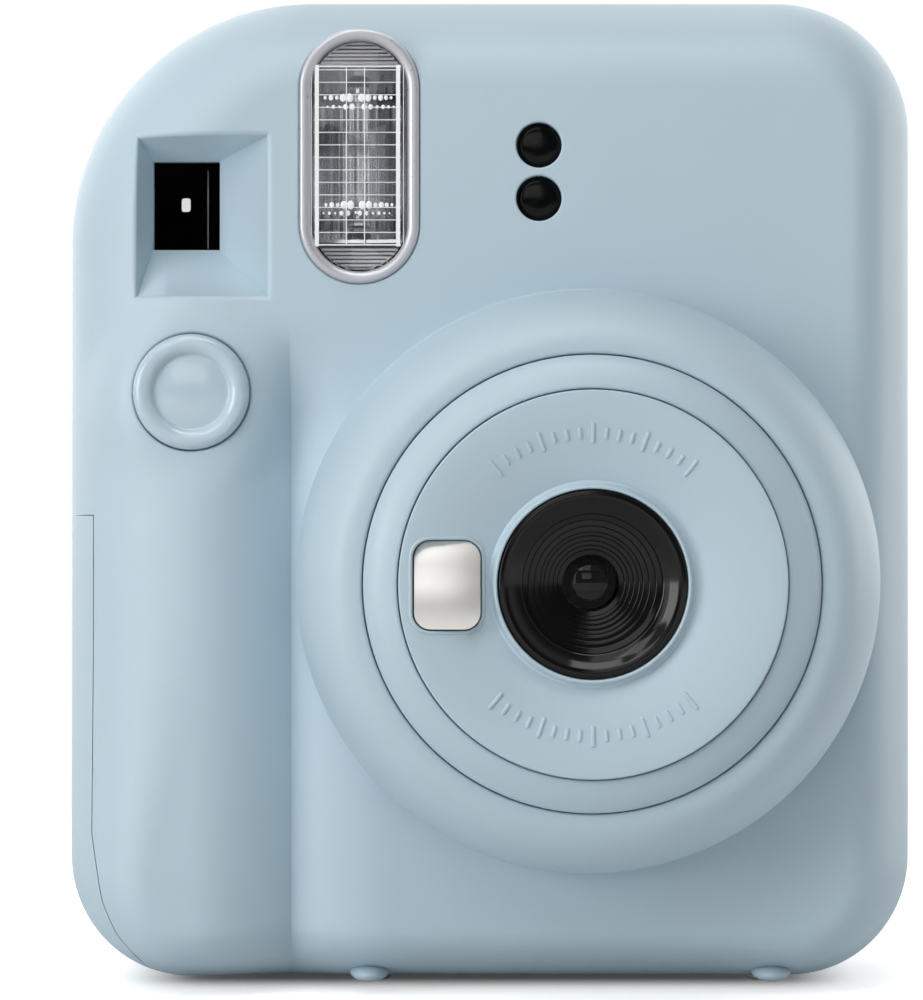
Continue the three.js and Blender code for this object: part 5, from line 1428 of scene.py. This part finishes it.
# Each lamp lists azimuth and elevation in degrees, distance, width and height in metres, and its power
LAMPS = {
    "front_soft": (-8, 15, 1.0, 0.4, 0.26, 0.5),
    "key_left": (-60, 10, 1.0, 0.35, 0.5, 2.77),
    "key_near": (-45, 10, 1.0, 0.35, 0.5, 0.93),
    "key_high": (-35, 40, 1.0, 0.4, 0.4, 1.5),
    "high_middle": (-10, 40, 1.0, 0.4, 0.4, 0.8),
    "front_high": (0, 68, 1.0, 0.6, 0.45, 3.08),
    "rim_right": (110, 10, 1.0, 0.35, 0.5, 2.3),
    "top_back": (180, 60, 1.0, 0.9, 0.5, 1.0),
    "back_left": (-150, 20, 1.1, 0.8, 0.8, 3.0),
    "back_right": (150, 20, 1.1, 0.8, 0.8, 2.5),
}


def area_light(name, azimuth, elevation, distance, width, height, power):
    """A soft lamp that aims at the camera's middle, with its azimuth counted from the front to the right"""
    light = bpy.data.lights.new(name, "AREA")
    light.shape = "RECTANGLE"
    light.size, light.size_y = width, height
    light.energy = power
    obj = bpy.data.objects.new(name, light)
    turn, rise = math.radians(azimuth), math.radians(elevation)
    way = Vector((math.sin(turn) * math.cos(rise), -math.cos(turn) * math.cos(rise), math.sin(rise)))
    obj.location = Vector(AIM) + way * distance
    obj.rotation_euler = (-way).to_track_quat("-Z", "Y").to_euler()
    obj.visible_camera = False
    bpy.context.scene.collection.objects.link(obj)


for name, spec in LAMPS.items():
    area_light(name, *spec)


# The floor turns to plain white between two distances from its middle, in metres
FLOOR = Sizes(half=3.0, color=(0.85, 0.85, 0.85, 1), near=0.13, far=0.3)
# A painted shadow: the floor's glow drops in a box under the middle of the camera, with its places in
# metres, and the glow inside and outside it
PAINTED_SHADOW = Sizes(y=0.012, half_width=0.036, half_depth=0.006, fade=0.012, glow_inside=0.05, glow_outside=0.6)


def seen(tree):
    """One for rays from the camera and for what mirrors and glass show, and zero for the light itself"""
    path = wire(tree, "LightPath")
    total = path["Is Camera Ray"]
    for other in ("Is Glossy Ray", "Is Transmission Ray"):
        total = wire(tree, "Math", {0: total, 1: path[other]}, operation="MAXIMUM")[0]
    return total


def smooth_range(tree, value, limits):
    return wire(tree, "MapRange", {"Value": value, **limits}, interpolation_type="SMOOTHSTEP")["Result"]


def make_floor_material():
    """A pale matte floor that keeps the shadow near the object and turns to plain white further out. Its
    glow for the camera is weak under the camera's middle, which paints the shadow there darker.
    """
    material = bpy.data.materials.new("floor")
    material.use_nodes = True
    tree = material.node_tree
    shader = tree.nodes["Principled BSDF"]
    fill_in(tree, shader, {"Base Color": FLOOR.color, "Roughness": 0.9, "Specular IOR Level": 0.1})
    place = wire(tree, "TexCoord")["Object"]
    size = wire(tree, "VectorMath", {0: place}, operation="LENGTH")["Value"]
    fade = smooth_range(tree, size, {"From Min": FLOOR.near, "From Max": FLOOR.far})
    away = place
    steps = [
        ("SUBTRACT", (0, PAINTED_SHADOW.y, 0)), ("ABSOLUTE", (0, 0, 0)),
        ("SUBTRACT", (PAINTED_SHADOW.half_width, PAINTED_SHADOW.half_depth, 0)), ("MAXIMUM", (0, 0, 0)),
    ]
    for operation, amount in steps:
        away = wire(tree, "VectorMath", {0: away, 1: amount}, operation=operation)[0]
    gap = wire(tree, "VectorMath", {0: away}, operation="LENGTH")["Value"]
    # The glow is weak inside the box and strong outside it, a painted shadow under the camera
    level = smooth_range(tree, gap, {
        "From Max": PAINTED_SHADOW.fade, "To Min": PAINTED_SHADOW.glow_inside, "To Max": PAINTED_SHADOW.glow_outside,
    })
    direct = wire(tree, "LightPath")["Is Camera Ray"]
    part = wire(tree, "Math", {0: direct, 1: level}, operation="MULTIPLY")[0]
    glow = wire(tree, "Emission", {"Strength": part})["Emission"]
    close = wire(tree, "AddShader", {0: shader.outputs["BSDF"], 1: glow})["Shader"]
    share = wire(tree, "Math", {0: seen(tree), 1: fade}, operation="MULTIPLY")[0]
    white = wire(tree, "Emission")["Emission"]
    choose = wire(tree, "MixShader", {"Fac": share, 1: close, 2: white})["Shader"]
    tree.links.new(choose, tree.nodes["Material Output"].inputs["Surface"])
    return material


floor_mesh = bpy.data.meshes.new("floor")
corners = [(x * FLOOR.half, y * FLOOR.half, 0) for x, y in ((-1, -1), (1, -1), (1, 1), (-1, 1))]
floor_mesh.from_pydata(corners, [], [(0, 1, 2, 3)])
floor = bpy.data.objects.new("floor", floor_mesh)
floor.data.materials.append(make_floor_material())
bpy.context.scene.collection.objects.link(floor)

# The world: plain white to the camera, and what metal and glass mirror is dimmer on the camera's side
AMBIENT = 0.1
DIM = {"From Min": -0.9, "From Max": 0.1, "To Min": 0.15, "To Max": 1.0}
PURE_WHITE = (1, 1, 1, 1)
world = bpy.data.worlds.new("world")
bpy.context.scene.world = world
world.use_nodes = True
tree = world.node_tree
ambient = tree.nodes["Background"]
fill_in(tree, ambient, {"Color": PURE_WHITE, "Strength": AMBIENT})
way = wire(tree, "TexCoord")["Generated"]
shade = smooth_range(tree, wire(tree, "SeparateXYZ", {"Vector": way})["Y"], DIM)
direct = wire(tree, "LightPath")["Is Camera Ray"]
level = wire(tree, "Math", {0: direct, 1: shade}, operation="MAXIMUM")[0]
plain = wire(tree, "Background", {"Color": PURE_WHITE, "Strength": level})["Background"]
choose = wire(tree, "MixShader", {"Fac": seen(tree), 1: ambient.outputs["Background"], 2: plain})["Shader"]
tree.links.new(choose, tree.nodes["World Output"].inputs["Surface"])

# The camera, as far away as the photograph's perspective says, in metres
VIEW = Sizes(place=(-0.0035, -0.440, 0.0599), lens=127.9, sensor=36)
camera_data = bpy.data.cameras.new("camera")
camera = bpy.data.objects.new("camera", camera_data)
bpy.context.scene.collection.objects.link(camera)
camera.location = VIEW.place
camera.rotation_euler = (math.pi / 2, 0, 0)
camera_data.lens = VIEW.lens
camera_data.sensor_width = VIEW.sensor
bpy.context.scene.camera = camera
bpy.context.scene.view_settings.view_transform = "Standard"
